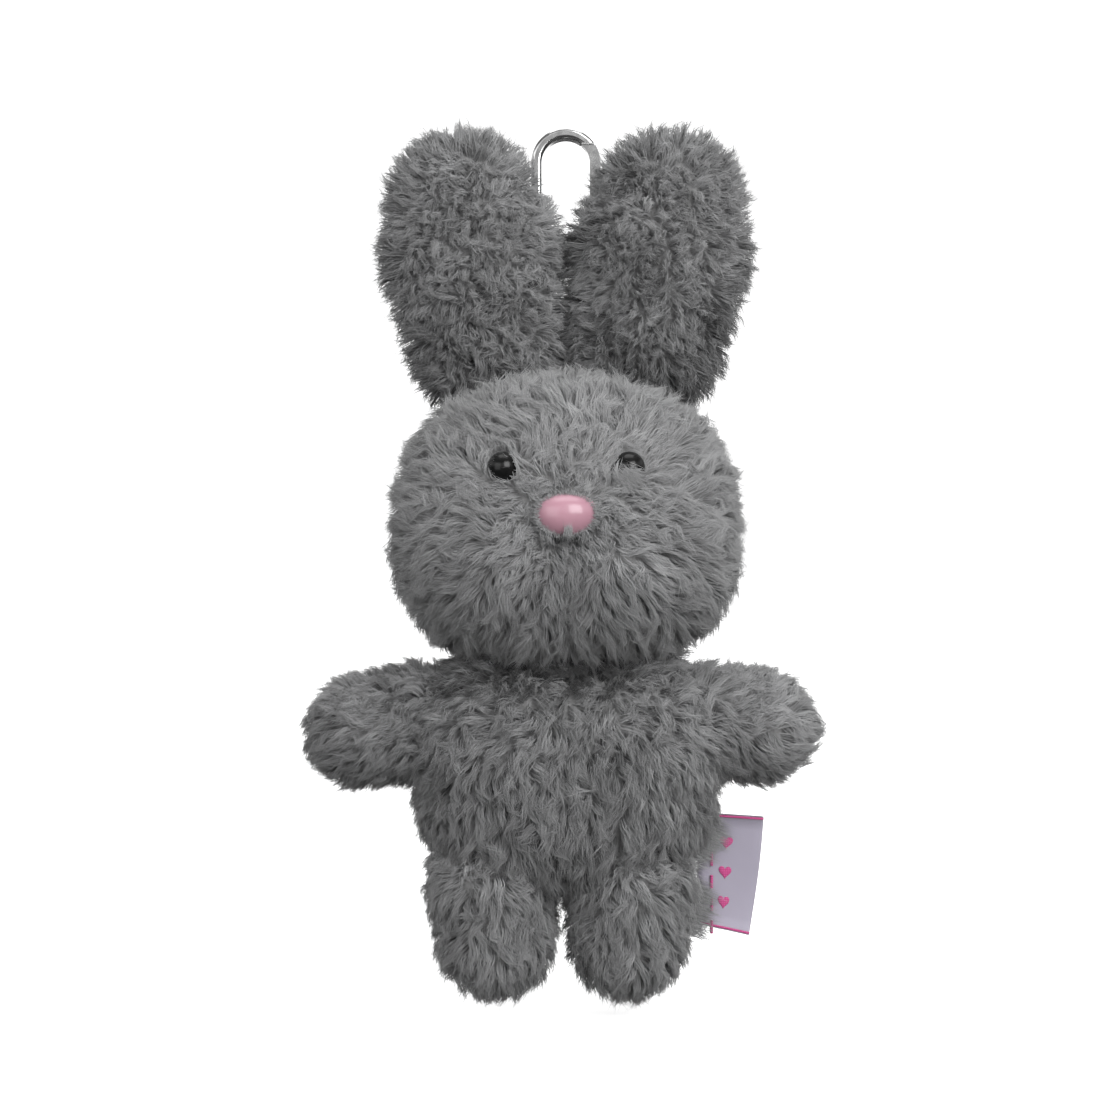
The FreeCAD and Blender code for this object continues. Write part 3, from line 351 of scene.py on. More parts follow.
def strand_mesh(name, spine, radius, tone, normal, spin):
    """Builds all strands of one piece as a mesh.

    spine is (strand, ring, xyz) and radius is (strand, ring). The map holds the strand's tone
    across and the share of its length upwards.
    """
    count, rings = spine.shape[0], spine.shape[1] - 1
    tangent = unit_rows(np.gradient(spine, axis=1))
    side = unit_rows(np.cross(tangent, normal[:, None, :]))
    up = np.cross(tangent, side)
    corners, facings = [], []
    for j in range(SIDES_OF_HAIR):
        angle = (spin + 2 * math.pi * j / SIDES_OF_HAIR)[:, None, None]
        around = np.cos(angle) * side[:, :rings] + np.sin(angle) * up[:, :rings]
        corners.append(spine[:, :rings] + around * radius[:, :rings, None])
        facings.append(around)
    body = np.stack(corners, axis=2).reshape(count, rings * SIDES_OF_HAIR, 3)
    points = np.concatenate([body, spine[:, rings:]], axis=1)
    facing = np.stack(facings, axis=2).reshape(count, rings * SIDES_OF_HAIR, 3)
    facing = np.concatenate([facing, tangent[:, rings:]], axis=1)
    facing = unit_rows(SOFTNESS * normal[:, None, :] + (1 - SOFTNESS) * facing)
    per = points.shape[1]
    faces = strand_faces()
    corner_list = np.array([v for f in faces for v in f])
    totals = np.array([len(f) for f in faces])
    loops = (np.arange(count)[:, None] * per + corner_list).ravel()
    sizes = np.tile(totals, count)
    starts = np.concatenate([[0], np.cumsum(sizes)[:-1]])
    mesh = bpy.data.meshes.new(name)
    mesh.vertices.add(count * per)
    mesh.loops.add(len(loops))
    mesh.polygons.add(len(sizes))
    mesh.vertices.foreach_set("co", points.astype(np.float32).ravel())
    mesh.loops.foreach_set("vertex_index", loops.astype(np.int32))
    mesh.polygons.foreach_set("loop_start", starts.astype(np.int32))
    mesh.polygons.foreach_set("loop_total", sizes.astype(np.int32))
    mesh.polygons.foreach_set("use_smooth", np.ones(len(sizes), bool))
    level = np.append(np.repeat(RINGS[:rings], SIDES_OF_HAIR), 1.0)[corner_list]
    uv = np.empty((count, len(corner_list), 2), np.float32)
    uv[:, :, 0] = np.clip(tone, 0.02, 0.98)[:, None]
    uv[:, :, 1] = 0.03 + 0.94 * level[None, :]
    layer = mesh.uv_layers.new(name="OFBake")
    layer.data.foreach_set("uv", uv.ravel())
    mesh.update(calc_edges=True)
    mesh.normals_split_custom_set_from_vertices(facing.reshape(-1, 3))
    return new_object(name, mesh)


def surface_samples(obj, count, rng, keep):
    """Random points on a skin with their normals; keep(points, normals) says which stay."""
    mesh = obj.data
    mesh.calc_loop_triangles()
    corners = np.zeros(len(mesh.loop_triangles) * 3, np.int32)
    mesh.loop_triangles.foreach_get("vertices", corners)
    corners = corners.reshape(-1, 3)
    points, normals = vertex_rows(mesh), vertex_rows(mesh, "normal")
    a, b, c = (points[corners[:, k]] for k in range(3))
    area = np.linalg.norm(np.cross(b - a, c - a), axis=1)
    picks = rng.choice(len(area), size=count, p=area / area.sum())
    u, v = rng.random(count), rng.random(count)
    over = u + v > 1
    u[over], v[over] = 1 - u[over], 1 - v[over]
    weight = np.stack([1 - u - v, u, v], axis=1)[:, :, None]
    place = (points[corners[picks]] * weight).sum(axis=1)
    normal = unit_rows((normals[corners[picks]] * weight).sum(axis=1))
    stay = keep(place, normal)
    return place[stay], normal[stay]


def waves(points, seed, scale):
    """Smooth pseudo-random values around 0, about -1 to 1, that change over the given distance."""
    rng = np.random.default_rng(seed)
    total = np.zeros(len(points))
    for _ in range(6):
        direction = unit_rows(rng.normal(size=3))
        pitch = rng.uniform(0.7, 1.5) * 2 * math.pi / scale
        total += np.sin(points @ direction * pitch + rng.uniform(0, 2 * math.pi))
    return total / 2.6


def combed(direction, normal):
    """The combing direction laid onto the surface."""
    flat = direction - (direction * normal).sum(axis=1, keepdims=True) * normal
    return unit_rows(flat)


def swirled(flat, normal, angle):
    across = np.cross(normal, flat)
    return flat * np.cos(angle)[:, None] + across * np.sin(angle)[:, None]


def nearest(points, centres):
    tree = kdtree.KDTree(len(centres))
    for index, centre in enumerate(centres):
        tree.insert(Vector(centre), index)
    tree.balance()
    return np.array([tree.find(Vector(p))[1] for p in points])


class Pile:
    """How one region's fur grows. Densities are per square mm; lengths are in metres."""

    # Strands stand in clumps, and clumps lean together in tufts
    density = 14.0
    clump_density = 0.9
    tuft_density = 0.09
    clump = 0.38
    tuft_pull = 0.24

    # How far a strand rises, lies over and sags, as shares of its length, and how it swirls
    length = 5.4 * MM
    lift = 0.58
    lie = 0.62
    droop = 0.05
    swirl = 0.6
    swirl_scale = 6 * MM

    # A strand's half width, how far it strays, and the middle and spread of the tones
    width = 0.064 * MM
    fray = 0.42 * MM
    tone = 0.5
    uneven = 0.09

    # Functions of place that scale the length and paint shade into the tone
    length_field = None
    painted_shade_field = None

    def __init__(self, **values):
        self.__dict__.update(values)


def guide_curve(root, normal, flat, length, lift, pile, rng):
    """Bent centre lines of the clumps at each ring."""
    t = RINGS[None, :, None]
    side = np.cross(normal, flat)
    curl = rng.normal(0, 0.16, size=(len(root), 1, 1))
    rise = (1 - (1 - t) ** 2) * lift[:, None, None]
    lay = pile.lie * t**1.25
    sway = curl * t**2
    sink = np.array([0, 0, -1.0]) * pile.droop * t**2
    shape = rise * normal[:, None] + lay * flat[:, None] + sway * side[:, None] + sink
    return root[:, None] + shape * length[:, None, None]


def wear(obj, material, body, slot, *replaced):
    """Gives a piece its material and its moving body, and hides the CAD nodes it replaces; slot is
    not used.
    """
    obj.data.materials.append(MATERIALS[material])
    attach(obj, body)
    if replaced:
        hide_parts(*replaced)


def grow(name, base, body, pile, comb, keep, seed):
    """Covers the kept part of a skin with clumped strands, as one piece."""
    rng = np.random.default_rng(seed)
    area = sum(p.area for p in base.data.polygons) / MM**2
    roots, normals = surface_samples(base, int(area * pile.density), rng, keep)
    roots, normals = roots[:MOST_STRANDS], normals[:MOST_STRANDS]
    centres, centre_normals = surface_samples(
        base, int(area * pile.clump_density), rng, everywhere
    )
    flat = combed(comb(centres, centre_normals), centre_normals)
    angle = pile.swirl * waves(centres, seed, pile.swirl_scale)
    angle += rng.normal(0, pile.swirl * 0.35, len(centres))
    flat = swirled(flat, centre_normals, angle)
    long = pile.length * rng.uniform(0.86, 1.1, len(centres))
    if pile.length_field:
        long = long * pile.length_field(centres)
    lift = pile.lift * rng.uniform(0.75, 1.25, len(centres))
    guides = guide_curve(centres, centre_normals, flat, long, lift, pile, rng)
    tufts, _ = surface_samples(base, int(area * pile.tuft_density), rng, everywhere)
    to_tuft = tufts[nearest(centres, tufts)] - centres
    guides += to_tuft[:, None] * pile.tuft_pull * RINGS[None, :, None] ** 1.5
    clump_tone = rng.normal(0, pile.uneven, len(centres))
    clump_tone += 0.09 * waves(centres, seed + 7, 11 * MM)
    # The part's painted shade darkens the clumps where shade falls
    if pile.painted_shade_field:
        clump_tone += pile.painted_shade_field(centres)
    own = nearest(roots, centres)
    pull = (pile.clump * RINGS**1.4)[None, :, None]
    offset = roots - centres[own]
    stretch = rng.uniform(0.8, 1.12, len(roots))[:, None, None]
    local = (guides[own] - centres[own][:, None]) * stretch
    spine = centres[own][:, None] + offset[:, None] * (1 - pull) + local
    fray = rng.normal(0, pile.fray, size=spine.shape) * RINGS[None, :, None]
    spine = spine + fray
    spine[:, 0] -= normals * ROOT_DEPTH
    radius = pile.width * rng.uniform(0.7, 1.25, len(roots))[:, None] * TAPER[None, :]
    tone = pile.tone + clump_tone[own] + rng.normal(0, 0.09, len(roots))
    spin = rng.uniform(0, 2 * math.pi, len(roots))
    fur = strand_mesh(name, part_around_face(spine), radius, tone, normals, spin)
    wear(fur, "fur", body, "plush")


LOOSE_WIDTH = 0.055 * MM


def wisp(name, base, body, root, front, direction, length, count, spread, seed):
    """One loose tuft, from root on a skin, that rises to pass the front of a fitting."""
    rng = np.random.default_rng(seed)
    _, start, _, _ = base.closest_point_on_mesh(Vector((root[0], front, root[1])))
    away = np.tile(np.array(direction) / np.linalg.norm(direction), (count, 1))
    roots = np.array(start) + rng.normal(0, spread, (count, 3)) * np.array([1, 0.3, 1])
    loose_hairs(name, body, roots, away, front, length, rng)


def nose_rim(base):
    """Short hairs that stand all round the nose and lean over its edge."""
    rng = np.random.default_rng(141)
    angle = rng.uniform(0, 2 * math.pi, NOSE_RIM_HAIRS)
    outward = np.stack([np.cos(angle), np.zeros(len(angle)), np.sin(angle)], axis=1)
    places = NOSE_MID + outward * NOSE_RIM + rng.normal(0, 0.2 * MM, outward.shape)
    places[:, 1] = NOSE_LOW[1]
    roots = np.array([base.ray_cast(Vector(place), (0, 1, 0))[1] for place in places])
    front = NOSE_LOW[1] + NOSE_RIM_SUNK
    loose_hairs("fur_nose_rim", "head", roots, -outward, front, NOSE_RIM_LENGTH, rng)


def loose_hairs(name, body, roots, away, front, length, rng):
    """Hairs that lie along away and rise from their roots to just before the depth front."""
    count = len(roots)
    long = length * rng.uniform(0.65, 1.1, count)[:, None, None]
    t = RINGS[None, :, None]
    spine = roots[:, None] + away[:, None] * t * long
    climb = np.array([0.0, 0.85, 1.0])[None, :]
    clearance = rng.uniform(0.1, 0.7, count)[:, None] * MM
    spine[:, :, 1] += (front - clearance - roots[:, 1:2]) * climb
    spine += rng.normal(0, 0.2 * MM, spine.shape) * t
    radius = LOOSE_WIDTH * rng.uniform(0.7, 1.2, count)[:, None] * TAPER[None, :]
    tone = 0.5 + rng.normal(0, 0.09, count)
    normals = np.tile(unit_rows(np.array([0, -1.0, 0.35])), (count, 1))
    fur = strand_mesh(name, spine, radius, tone, normals, rng.uniform(0, 2 * math.pi, count))
    wear(fur, "fur", body, "plush")


# For each bead and the nose: its centre, the half width of the opening in the pile in mm and
# that opening's height over its width, and the radius without roots in mm
FITTINGS = (
    (EYE_AXES["left"], 2.5, 1.0, 2.3),
    (EYE_AXES["right"], 2.2, 0.9, 2.0),
    (NOSE_MID, 4.3, 0.72, 3.4),
)


def part_around_face(spine):
    """Pushes strands aside where they would cover the beads and the nose."""
    flat = spine.reshape(-1, 3).copy()
    for centre, wide, tall, _ in FITTINGS:
        away = flat - centre
        reach = wide * MM
        across = np.sqrt(away[:, 0] ** 2 + (away[:, 2] / tall) ** 2)
        near = (across < reach) & (away[:, 1] < 1 * MM)
        push = (reach / np.maximum(across, 0.15 * MM))[near]
        flat[near, 0] = centre[0] + away[near, 0] * push
        flat[near, 2] = centre[2] + away[near, 2] * push
    return flat.reshape(spine.shape)


# ---- combing fields


def comb_face(points, normals):
    """Outwards from the nose over the face, then down the back of the head."""
    away = points - (NOSE_TIP + np.array([0, 1.0, 0.5]) * MM)
    away = unit_rows(away)
    low = np.clip((NOSE_MID[2] - points[:, 2]) / HEAD_HALF[2], 0, 1)
    away[:, 2] -= 0.55 * low
    behind = np.clip((points[:, 1] - HEAD_MID[1]) / HEAD_HALF[1], 0, 1)[:, None]
    return away * (1 - behind) + np.array([0, 0.2, -1.0]) * behind


def comb_torso(points, normals):
    """Down the body, out towards the arms above and in towards the crotch below."""
    x = (points[:, 0] - TORSO_MID[0]) / TORSO_HALF[0]
    high = np.clip((points[:, 2] - TORSO_MID[2]) / TORSO_HALF[2] + 0.35, 0, 1)
    direction = np.zeros_like(points)
    direction[:, 0] = 1.9 * x * np.abs(x) * high - 0.45 * x * (1 - high)
    direction[:, 2] = -1
    return direction


def comb_arm(sign):
    """Out along the arm, and down it more on the left."""

    def field(points, normals):
        direction = np.zeros_like(points)
        direction[:, 0] = sign
        direction[:, 2] = -0.4 + 0.3 * sign
        return direction

    return field


def comb_leg(points, normals):
    """Down the leg, straying a little sideways."""
    direction = np.zeros_like(points)
    direction[:, 0] = 0.25 * np.sign(points[:, 0]) * waves(points, 5, 14 * MM)
    direction[:, 2] = -1
    return direction


def comb_ear(centre, half):
    """Down the ear's face, turning outwards towards its rim."""

    def field(points, normals):
        out = (points - centre) / half
        rim = np.clip((out[:, 0] ** 2 + out[:, 2] ** 2) * 1.2 - 0.25, 0, 1)
        direction = np.zeros_like(points)
        direction[:, 0] = out[:, 0] * rim
        direction[:, 2] = out[:, 2] * rim - 0.7 * (1 - rim)
        return direction

    return field


# ---- materials


def new_material(name):
    material = bpy.data.materials.new(name)
    material.use_nodes = True
    nodes = material.node_tree.nodes
    return material, nodes, material.node_tree.links, nodes["Principled BSDF"]


def ramp(nodes, stops):
    node = nodes.new("ShaderNodeValToRGB")
    elements = node.color_ramp.elements
    while len(elements) < len(stops):
        elements.new(0.5)
    for element, (place, colour) in zip(elements, stops):
        element.position = place
        element.color = (*colour, 1)
    return node


def grey(value, cool=0.0):
    return (value * (1 - cool * 0.5), value, value * (1 + cool))


def mixed(nodes, links, kind, factor, first, second):
    """A colour mix node; first and second are sockets or colours."""
    node = nodes.new("ShaderNodeMix")
    node.data_type = "RGBA"
    node.blend_type = kind
    if isinstance(factor, (int, float)):
        node.inputs[0].default_value = factor
    else:
        links.new(factor, node.inputs[0])
    for socket, value in ((node.inputs[6], first), (node.inputs[7], second)):
        if isinstance(value, tuple):
            socket.default_value = (*value, 1)
        else:
            links.new(value, socket)
    return node.outputs[2]


def mottled(nodes, links, shader, scale, detail, dark, light, low=0.3):
    """Colours a shader by noise between two colours and returns the noise's socket."""
    place = nodes.new("ShaderNodeTexCoord")
    noise = nodes.new("ShaderNodeTexNoise")
    noise.inputs["Scale"].default_value = scale
    noise.inputs["Detail"].default_value = detail
    links.new(place.outputs["Object"], noise.inputs["Vector"])
    colour = ramp(nodes, [(low, dark), (1 - low, light)])
    links.new(noise.outputs["Fac"], colour.inputs[0])
    links.new(colour.outputs[0], shader.inputs["Base Color"])
    return noise.outputs["Fac"]


def worn(nodes, links, shader, pattern, roughness, spread):
    """Lets a shader's roughness rise by spread with a pattern."""
    rough = nodes.new("ShaderNodeMapRange")
    rough.inputs["To Min"].default_value = roughness
    rough.inputs["To Max"].default_value = roughness + spread
    links.new(pattern, rough.inputs["Value"])
    links.new(rough.outputs[0], shader.inputs["Roughness"])


def bump_from(nodes, links, height, strength, distance, shader):
    bump = nodes.new("ShaderNodeBump")
    bump.inputs["Strength"].default_value = strength
    bump.inputs["Distance"].default_value = distance
    links.new(height, bump.inputs["Height"])
    links.new(bump.outputs["Normal"], shader.inputs["Normal"])


def fur_material():
    """Grey fibre: the tone comes from the strand, painted shade included, and each strand lightens
    towards its tip, partly its own colour and partly painted shade deep in the pile.
    """
    material, nodes, links, shader = new_material("plush_fibre")
    strand_map = nodes.new("ShaderNodeUVMap")
    strand_map.uv_map = "OFBake"
    parts = nodes.new("ShaderNodeSeparateXYZ")
    links.new(strand_map.outputs["UV"], parts.inputs[0])
    # The darkest stops reach near black for the painted shade under the chin
    tones = ((0.0, 0.035), (0.22, 0.2), (0.5, 0.32), (1.0, 0.5))
    tone = ramp(nodes, [(place, grey(value, 0.01)) for place, value in tones])
    links.new(parts.outputs["X"], tone.inputs[0])
    # Darker roots: partly the fibre's colour, partly painted shade deep in the pile
    length = ramp(nodes, [(0.0, grey(0.66)), (0.5, grey(0.84)), (0.9, grey(1.0))])
    links.new(parts.outputs["Y"], length.inputs[0])
    colour = mixed(nodes, links, "MULTIPLY", 1.0, tone.outputs[0], length.outputs[0])
    links.new(colour, shader.inputs["Base Color"])
    shader.inputs["Roughness"].default_value = 0.62
    shader.inputs["Specular IOR Level"].default_value = 0.35
    shader.inputs["Sheen Weight"].default_value = 0.25
    shader.inputs["Sheen Roughness"].default_value = 0.5
    return material


def backing_material():
    """The knitted backing under the pile: dark, with a fine loop pattern."""
    material, nodes, links, shader = new_material("plush_backing")
    noise = mottled(nodes, links, shader, 900, 3, grey(0.2), grey(0.3))
    shader.inputs["Roughness"].default_value = 0.95
    bump_from(nodes, links, noise, 0.6, 0.3 * MM, shader)
    return material


def fibre_fill_material():
    """The white stuffing."""
    material, nodes, links, shader = new_material("fibre_fill")
    noise = mottled(nodes, links, shader, 500, 6, grey(0.62), grey(0.9))
    shader.inputs["Roughness"].default_value = 0.9
    bump_from(nodes, links, noise, 0.8, 0.4 * MM, shader)
    return material


def gloss_material(name, dark, light, roughness, scale, shine, coat):
    """Moulded gloss plastic with a faint colour drift and slight surface wear."""
    material, nodes, links, shader = new_material(name)
    noise = mottled(nodes, links, shader, scale, 3, dark, light)
    worn(nodes, links, shader, noise, roughness, 0.08)
    shader.inputs["Specular IOR Level"].default_value = shine
    shader.inputs["Coat Weight"].default_value = coat
    shader.inputs["Coat Roughness"].default_value = 0.05
    return material


def metal_material(name, dark, light, roughness):
    """Polished plate with fine wear."""
    material, nodes, links, shader = new_material(name)
    noise = mottled(nodes, links, shader, 700, 5, dark, light, 0.35)
    shader.inputs["Metallic"].default_value = 1.0
    worn(nodes, links, shader, noise, roughness, 0.12)
    return material


def woven_material(name, low, high, pitch, roughness, sheen):
    """Tape or ribbon: fine crossing threads with a soft sheen."""
    material, nodes, links, shader = new_material(name)
    place = nodes.new("ShaderNodeTexCoord")
    heights = []
    for direction in ("Z", "X"):
        wave = nodes.new("ShaderNodeTexWave")
        wave.bands_direction = direction
        wave.inputs["Scale"].default_value = 1 / pitch / 3.2
        wave.inputs["Distortion"].default_value = 0.6
        links.new(place.outputs["Object"], wave.inputs["Vector"])
        heights.append(wave.outputs["Color"])
    weave = mixed(nodes, links, "MULTIPLY", 0.8, heights[0], heights[1])
    colour = ramp(nodes, [(0.0, low), (0.9, high)])
    links.new(weave, colour.inputs[0])
    links.new(colour.outputs[0], shader.inputs["Base Color"])
    shader.inputs["Roughness"].default_value = roughness
    shader.inputs["Sheen Weight"].default_value = sheen
    bump_from(nodes, links, weave, 0.35, 0.08 * MM, shader)
    return material


MATERIALS = {
    "fur": fur_material(),
    "backing": backing_material(),
    "fill": fibre_fill_material(),
    "eye": gloss_material("eye_black", grey(0.004), grey(0.010), 0.16, 300, 0.3, 0.0),
    "nose": gloss_material(
        "nose_pink", (0.42, 0.22, 0.275), (0.46, 0.25, 0.305), 0.28, 200, 0.5, 0.3
    ),
    "washer": gloss_material("washer_white", grey(0.7), grey(0.82), 0.45, 200, 0.5, 0.0),
    "metal": metal_material("nickel_plate", grey(0.5), grey(0.64), 0.1),
    "wire": metal_material("spring_wire", grey(0.4), grey(0.55), 0.3),
    "thread": woven_material("grey_thread", grey(0.12), grey(0.28), 0.3 * MM, 0.8, 0.3),
    "pink_thread": woven_material(
        "pink_thread", (0.45, 0.04, 0.18), (0.72, 0.10, 0.34), 0.3 * MM, 0.6, 0.4
    ),
    "ribbon": woven_material("grey_ribbon", grey(0.10), grey(0.24), 0.5 * MM, 0.7, 0.3),
    "tape": woven_material(
        "lilac_tape", (0.34, 0.315, 0.39), (0.44, 0.41, 0.50), 0.16 * MM, 0.45, 0.3
    ),
}

CAD_NODES = {
    "eye": ("eye_left", "eye_right"),
    "nose": ("nose",),
    "washer": ("eye_washers", "nose_washer"),
    "metal": ("clasp_hook", "clasp_gate", "gate_pin", "swivel_eye"),
    "wire": ("gate_spring",),
    "thread": ("neck_stitching", "closing_stitching", "loop_stitching"),
    "pink_thread": ("label_stitching",),
}


def finish_cad_nodes():
    for material, nodes in CAD_NODES.items():
        for node in nodes:
            mesh = frame["nodes"][node].data
            mesh.materials.clear()
            mesh.materials.append(MATERIALS[material])


# ---- plush parts


# How light each part's pile is, as the middle of its strands' tones. The left and right ears and
# arms are the same fibre; their difference is painted light and shade.
EAR_TONES_WITH_SIDE_SHADE = {"left": 0.42, "right": 0.34}
ARM_TONES_WITH_SIDE_SHADE = {"left": 0.40, "right": 0.48}
LEG_TONE = 0.54

def stuff(part, base, *panels):
    """Lets a skin stand for its part's panels, with the same lump inside, smaller and tufted."""
    wear(base, "backing", part, "plush", *panels)
    points, normals = vertex_rows(base.data), vertex_rows(base.data, "normal")
    centre = points.mean(axis=0)
    tufts = waves(points, len(part), 4 * MM)
    inner = points - normals * (1.4 + 0.35 * tufts)[:, None] * MM
    faces = [list(p.vertices) for p in base.data.polygons]
    fill = new_mesh(f"filling_{part}", centre + (inner - centre) * 0.97, faces)
    wear(fill, "fill", part, "stuffing", f"{part}_stuffing")


def panels_of(part):
    return f"{part}_front_panel", f"{part}_back_panel"


def one_side(sign, seam, front):
    """Keeps roots in front of the seam or behind it, on one side; sign 0 keeps both sides."""

    def keep(points, normals):
        return (points[:, 0] * sign >= 0) & ((points[:, 1] < seam) == front)

    return keep


def face_length(points):
    """Short next to the nose and eyes, long on the cheeks and chin."""
    from_nose = np.linalg.norm(points - NOSE_TIP, axis=1)
    share = np.clip((from_nose - 5 * MM) / (13 * MM), 0, 1)
    short = 0.42 + 0.58 * share
    for eye in EYE_AXES.values():
        gap = np.linalg.norm((points - eye)[:, [0, 2]], axis=1)
        short = np.minimum(short, 0.5 + 0.5 * np.clip((gap - 2 * MM) / (6 * MM), 0, 1))
    return short


def clear_of_fittings(points):
    """Where no hair is rooted: under the beads and the nose."""
    free = np.ones(len(points), bool)
    for centre, _, _, wide in FITTINGS:
        gap = np.linalg.norm((points - centre)[:, [0, 2]], axis=1)
        free &= (gap > wide * MM) | (points[:, 1] > HEAD_MID[1])
    return free


# The ring of roots round the nose, and how far its hairs stay behind the nose's front
NOSE_RIM = np.array([5.5, 0, 4.05]) * MM
NOSE_RIM_SUNK = 1.9 * MM
NOSE_RIM_LENGTH = 1.25 * MM
NOSE_RIM_HAIRS = 1100

# Fitting, start beside it in mm, direction it lies, length in mm, strands, spread in mm
WISPS = (
    ("nose", (0.3, -4.2), (0.1, 0, 1.0), 2.2, 110, 0.35),
    ("nose", (-1.8, -4.1), (-0.1, 0, 1.0), 1.2, 60, 0.5),
    ("nose", (2.4, -3.6), (0.0, 0, 1.0), 1.0, 50, 0.5),
    ("eye_right", (3.1, -1.6), (-1.0, 0, 0.4), 4.0, 380, 0.7),
    ("eye_right", (1.6, -3.1), (-0.6, 0, 0.8), 2.9, 300, 0.7),
    ("eye_right", (3.2, 0.1), (-1.0, 0, -0.05), 2.8, 360, 0.42),
)

# Height above the label's middle in mm, and the skin the tuft grows from
LABEL_WISPS = (
    (9.7, "torso"), (7.2, "torso"), (4.7, "torso"), (2.2, "torso"),
    (-1.3, "leg_right"), (-4.3, "leg_right"), (-7.3, "leg_right"),
)


def hide_label_seam(bases):
    """Tufts of the torso and the thigh that fall over the label's stitches."""
    low, high = span("side_label")
    for index, (height, body) in enumerate(LABEL_WISPS):
        root = (low[0] - 2.2 * MM, (low[2] + high[2]) / 2 + height * MM)
        wisp(f"fur_wisp_label_{index + 1}", bases[body], body, root, low[1] - 0.6 * MM,
             (1.0, 0, -0.35), 5.4 * MM, 320, 1.0 * MM, 121 + index)


def face_part(sign, above):
    """Keeps roots on one side of the face, above or below the nose's middle."""
    front = one_side(sign, HEAD_MID[1], True)

    def keep(points, normals):
        level = (points[:, 2] >= NOSE_MID[2]) == above
        return front(points, normals) & level & clear_of_fittings(points)

    return keep


def build_head():
    base = skin("skin_head", head_shape, 26, 1, HEAD_MID[1])
    stuff("head", base, "face_panel", "head_back_panel")
    face = Pile(
        density=17, length=6.0 * MM, length_field=face_length, tone=0.56, swirl=0.9,
        swirl_scale=5 * MM,
    )
    back = Pile(density=12, length=6.0 * MM, tone=0.5)
    for index, (word, sign) in enumerate(SIDES.items()):
        brow, cheek = face_part(sign, True), face_part(sign, False)
        rear = one_side(sign, HEAD_MID[1], False)
        grow(f"fur_brow_{word}", base, "head", face, comb_face, brow, 21 + index)
        grow(f"fur_cheek_{word}", base, "head", face, comb_face, cheek, 31 + index)
        grow(f"fur_head_back_{word}", base, "head", back, comb_face, rear, 41 + index)
    nose_rim(base)
    for index, (node, offset, direction, length, count, spread) in enumerate(WISPS):
        low, high = span(node)
        middle = (low + high) / 2
        root = (middle[0] + offset[0] * MM, middle[2] + offset[1] * MM)
        wisp(f"fur_wisp_{index + 1}", base, "head", root, low[1], direction, length * MM, count,
             spread * MM, 101 + index)


def build_ear(word):
    ear = f"ear_{word}"
    base = ear_skin(word)
    low, high = span(*panels_of(ear))
    mid = (low + high) / 2
    stuff(ear, base, *panels_of(ear))
    pile = Pile(
        density=16, clump_density=1.5, length=4.4 * MM, lift=0.72, lie=0.42, clump=0.5,
        swirl=1.3, swirl_scale=6 * MM, tone=EAR_TONES_WITH_SIDE_SHADE[word], uneven=0.11,
        painted_shade_field=painted_shade_under_ear,
    )
    comb = comb_ear(mid, (high - low) / 2)
    front, rear = one_side(0, mid[1], True), one_side(0, mid[1], False)
    grow(f"fur_{ear}_front", base, ear, pile, comb, front, 51 + SIDES[word])
    grow(f"fur_{ear}_back", base, ear, pile, comb, rear, 61 + SIDES[word])


def painted_shade_under_chin(points):
    """Painted shade: darker where the head overhangs the chest, and a little towards the crotch.
    """
    drop = np.clip((TORSO_HIGH[2] - points[:, 2]) / (4.5 * MM), 0, None)
    across = (points[:, 0] - TORSO_MID[0]) / (20 * MM)
    chin = np.exp(-(drop**2) - across**2)
    low = np.clip((TORSO_LOW[2] + 8 * MM - points[:, 2]) / (8 * MM), 0, 1)
    return -0.55 * chin - 0.12 * low


def painted_shade_under_ear(points):
    """Painted shade: darker towards the foot of an ear, next to the head."""
    foot = joint_place("ear_left_flop")[2]
    return -0.16 * np.clip(1 - (points[:, 2] - foot) / (22 * MM), 0, 1)


def painted_shade_between_legs(points):
    """Painted shade: darker on the inner sides, towards the crotch."""
    inner = np.clip(1 - np.abs(points[:, 0]) / (7 * MM), 0, 1)
    return -0.35 * inner


def build_torso():
    base = skin("skin_torso", torso_shape, 22, 1, TORSO_MID[1])
    stuff("torso", base, *panels_of("torso"))
    pile = Pile(
        density=15, length=5.2 * MM, swirl=0.9, swirl_scale=5 * MM, tone=0.42, uneven=0.12,
        painted_shade_field=painted_shade_under_chin,
    )
    for index, (word, sign) in enumerate(SIDES.items()):
        front, rear = (one_side(sign, TORSO_MID[1], side) for side in (True, False))
        grow(f"fur_torso_front_{word}", base, "torso", pile, comb_torso, front, 71 + index)
        grow(f"fur_torso_back_{word}", base, "torso", pile, comb_torso, rear, 75 + index)
    return base


def build_limb(kind, word):
    sign = SIDES[word]
    joint = f"arm_{word}_lift" if kind == "arm" else f"leg_{word}_swing"
    direction = np.array([sign, 0, 0]) if kind == "arm" else np.array([0, 0, -1])
    base = limb_skin(kind, word, joint, direction)
    body = f"{kind}_{word}"
    stuff(body, base, *panels_of(body))
    pile = Pile(density=16, length=4.8 * MM, swirl=0.9)
    if kind == "arm":
        comb, seed, pile.tone = comb_arm(sign), 81 + sign, ARM_TONES_WITH_SIDE_SHADE[word]
    else:
        comb, seed, pile.tone, pile.painted_shade_field = comb_leg, 91 + sign, LEG_TONE, painted_shade_between_legs
    grow(f"fur_{body}", base, body, pile, comb, everywhere, seed)
    return base


# ---- ribbon and label


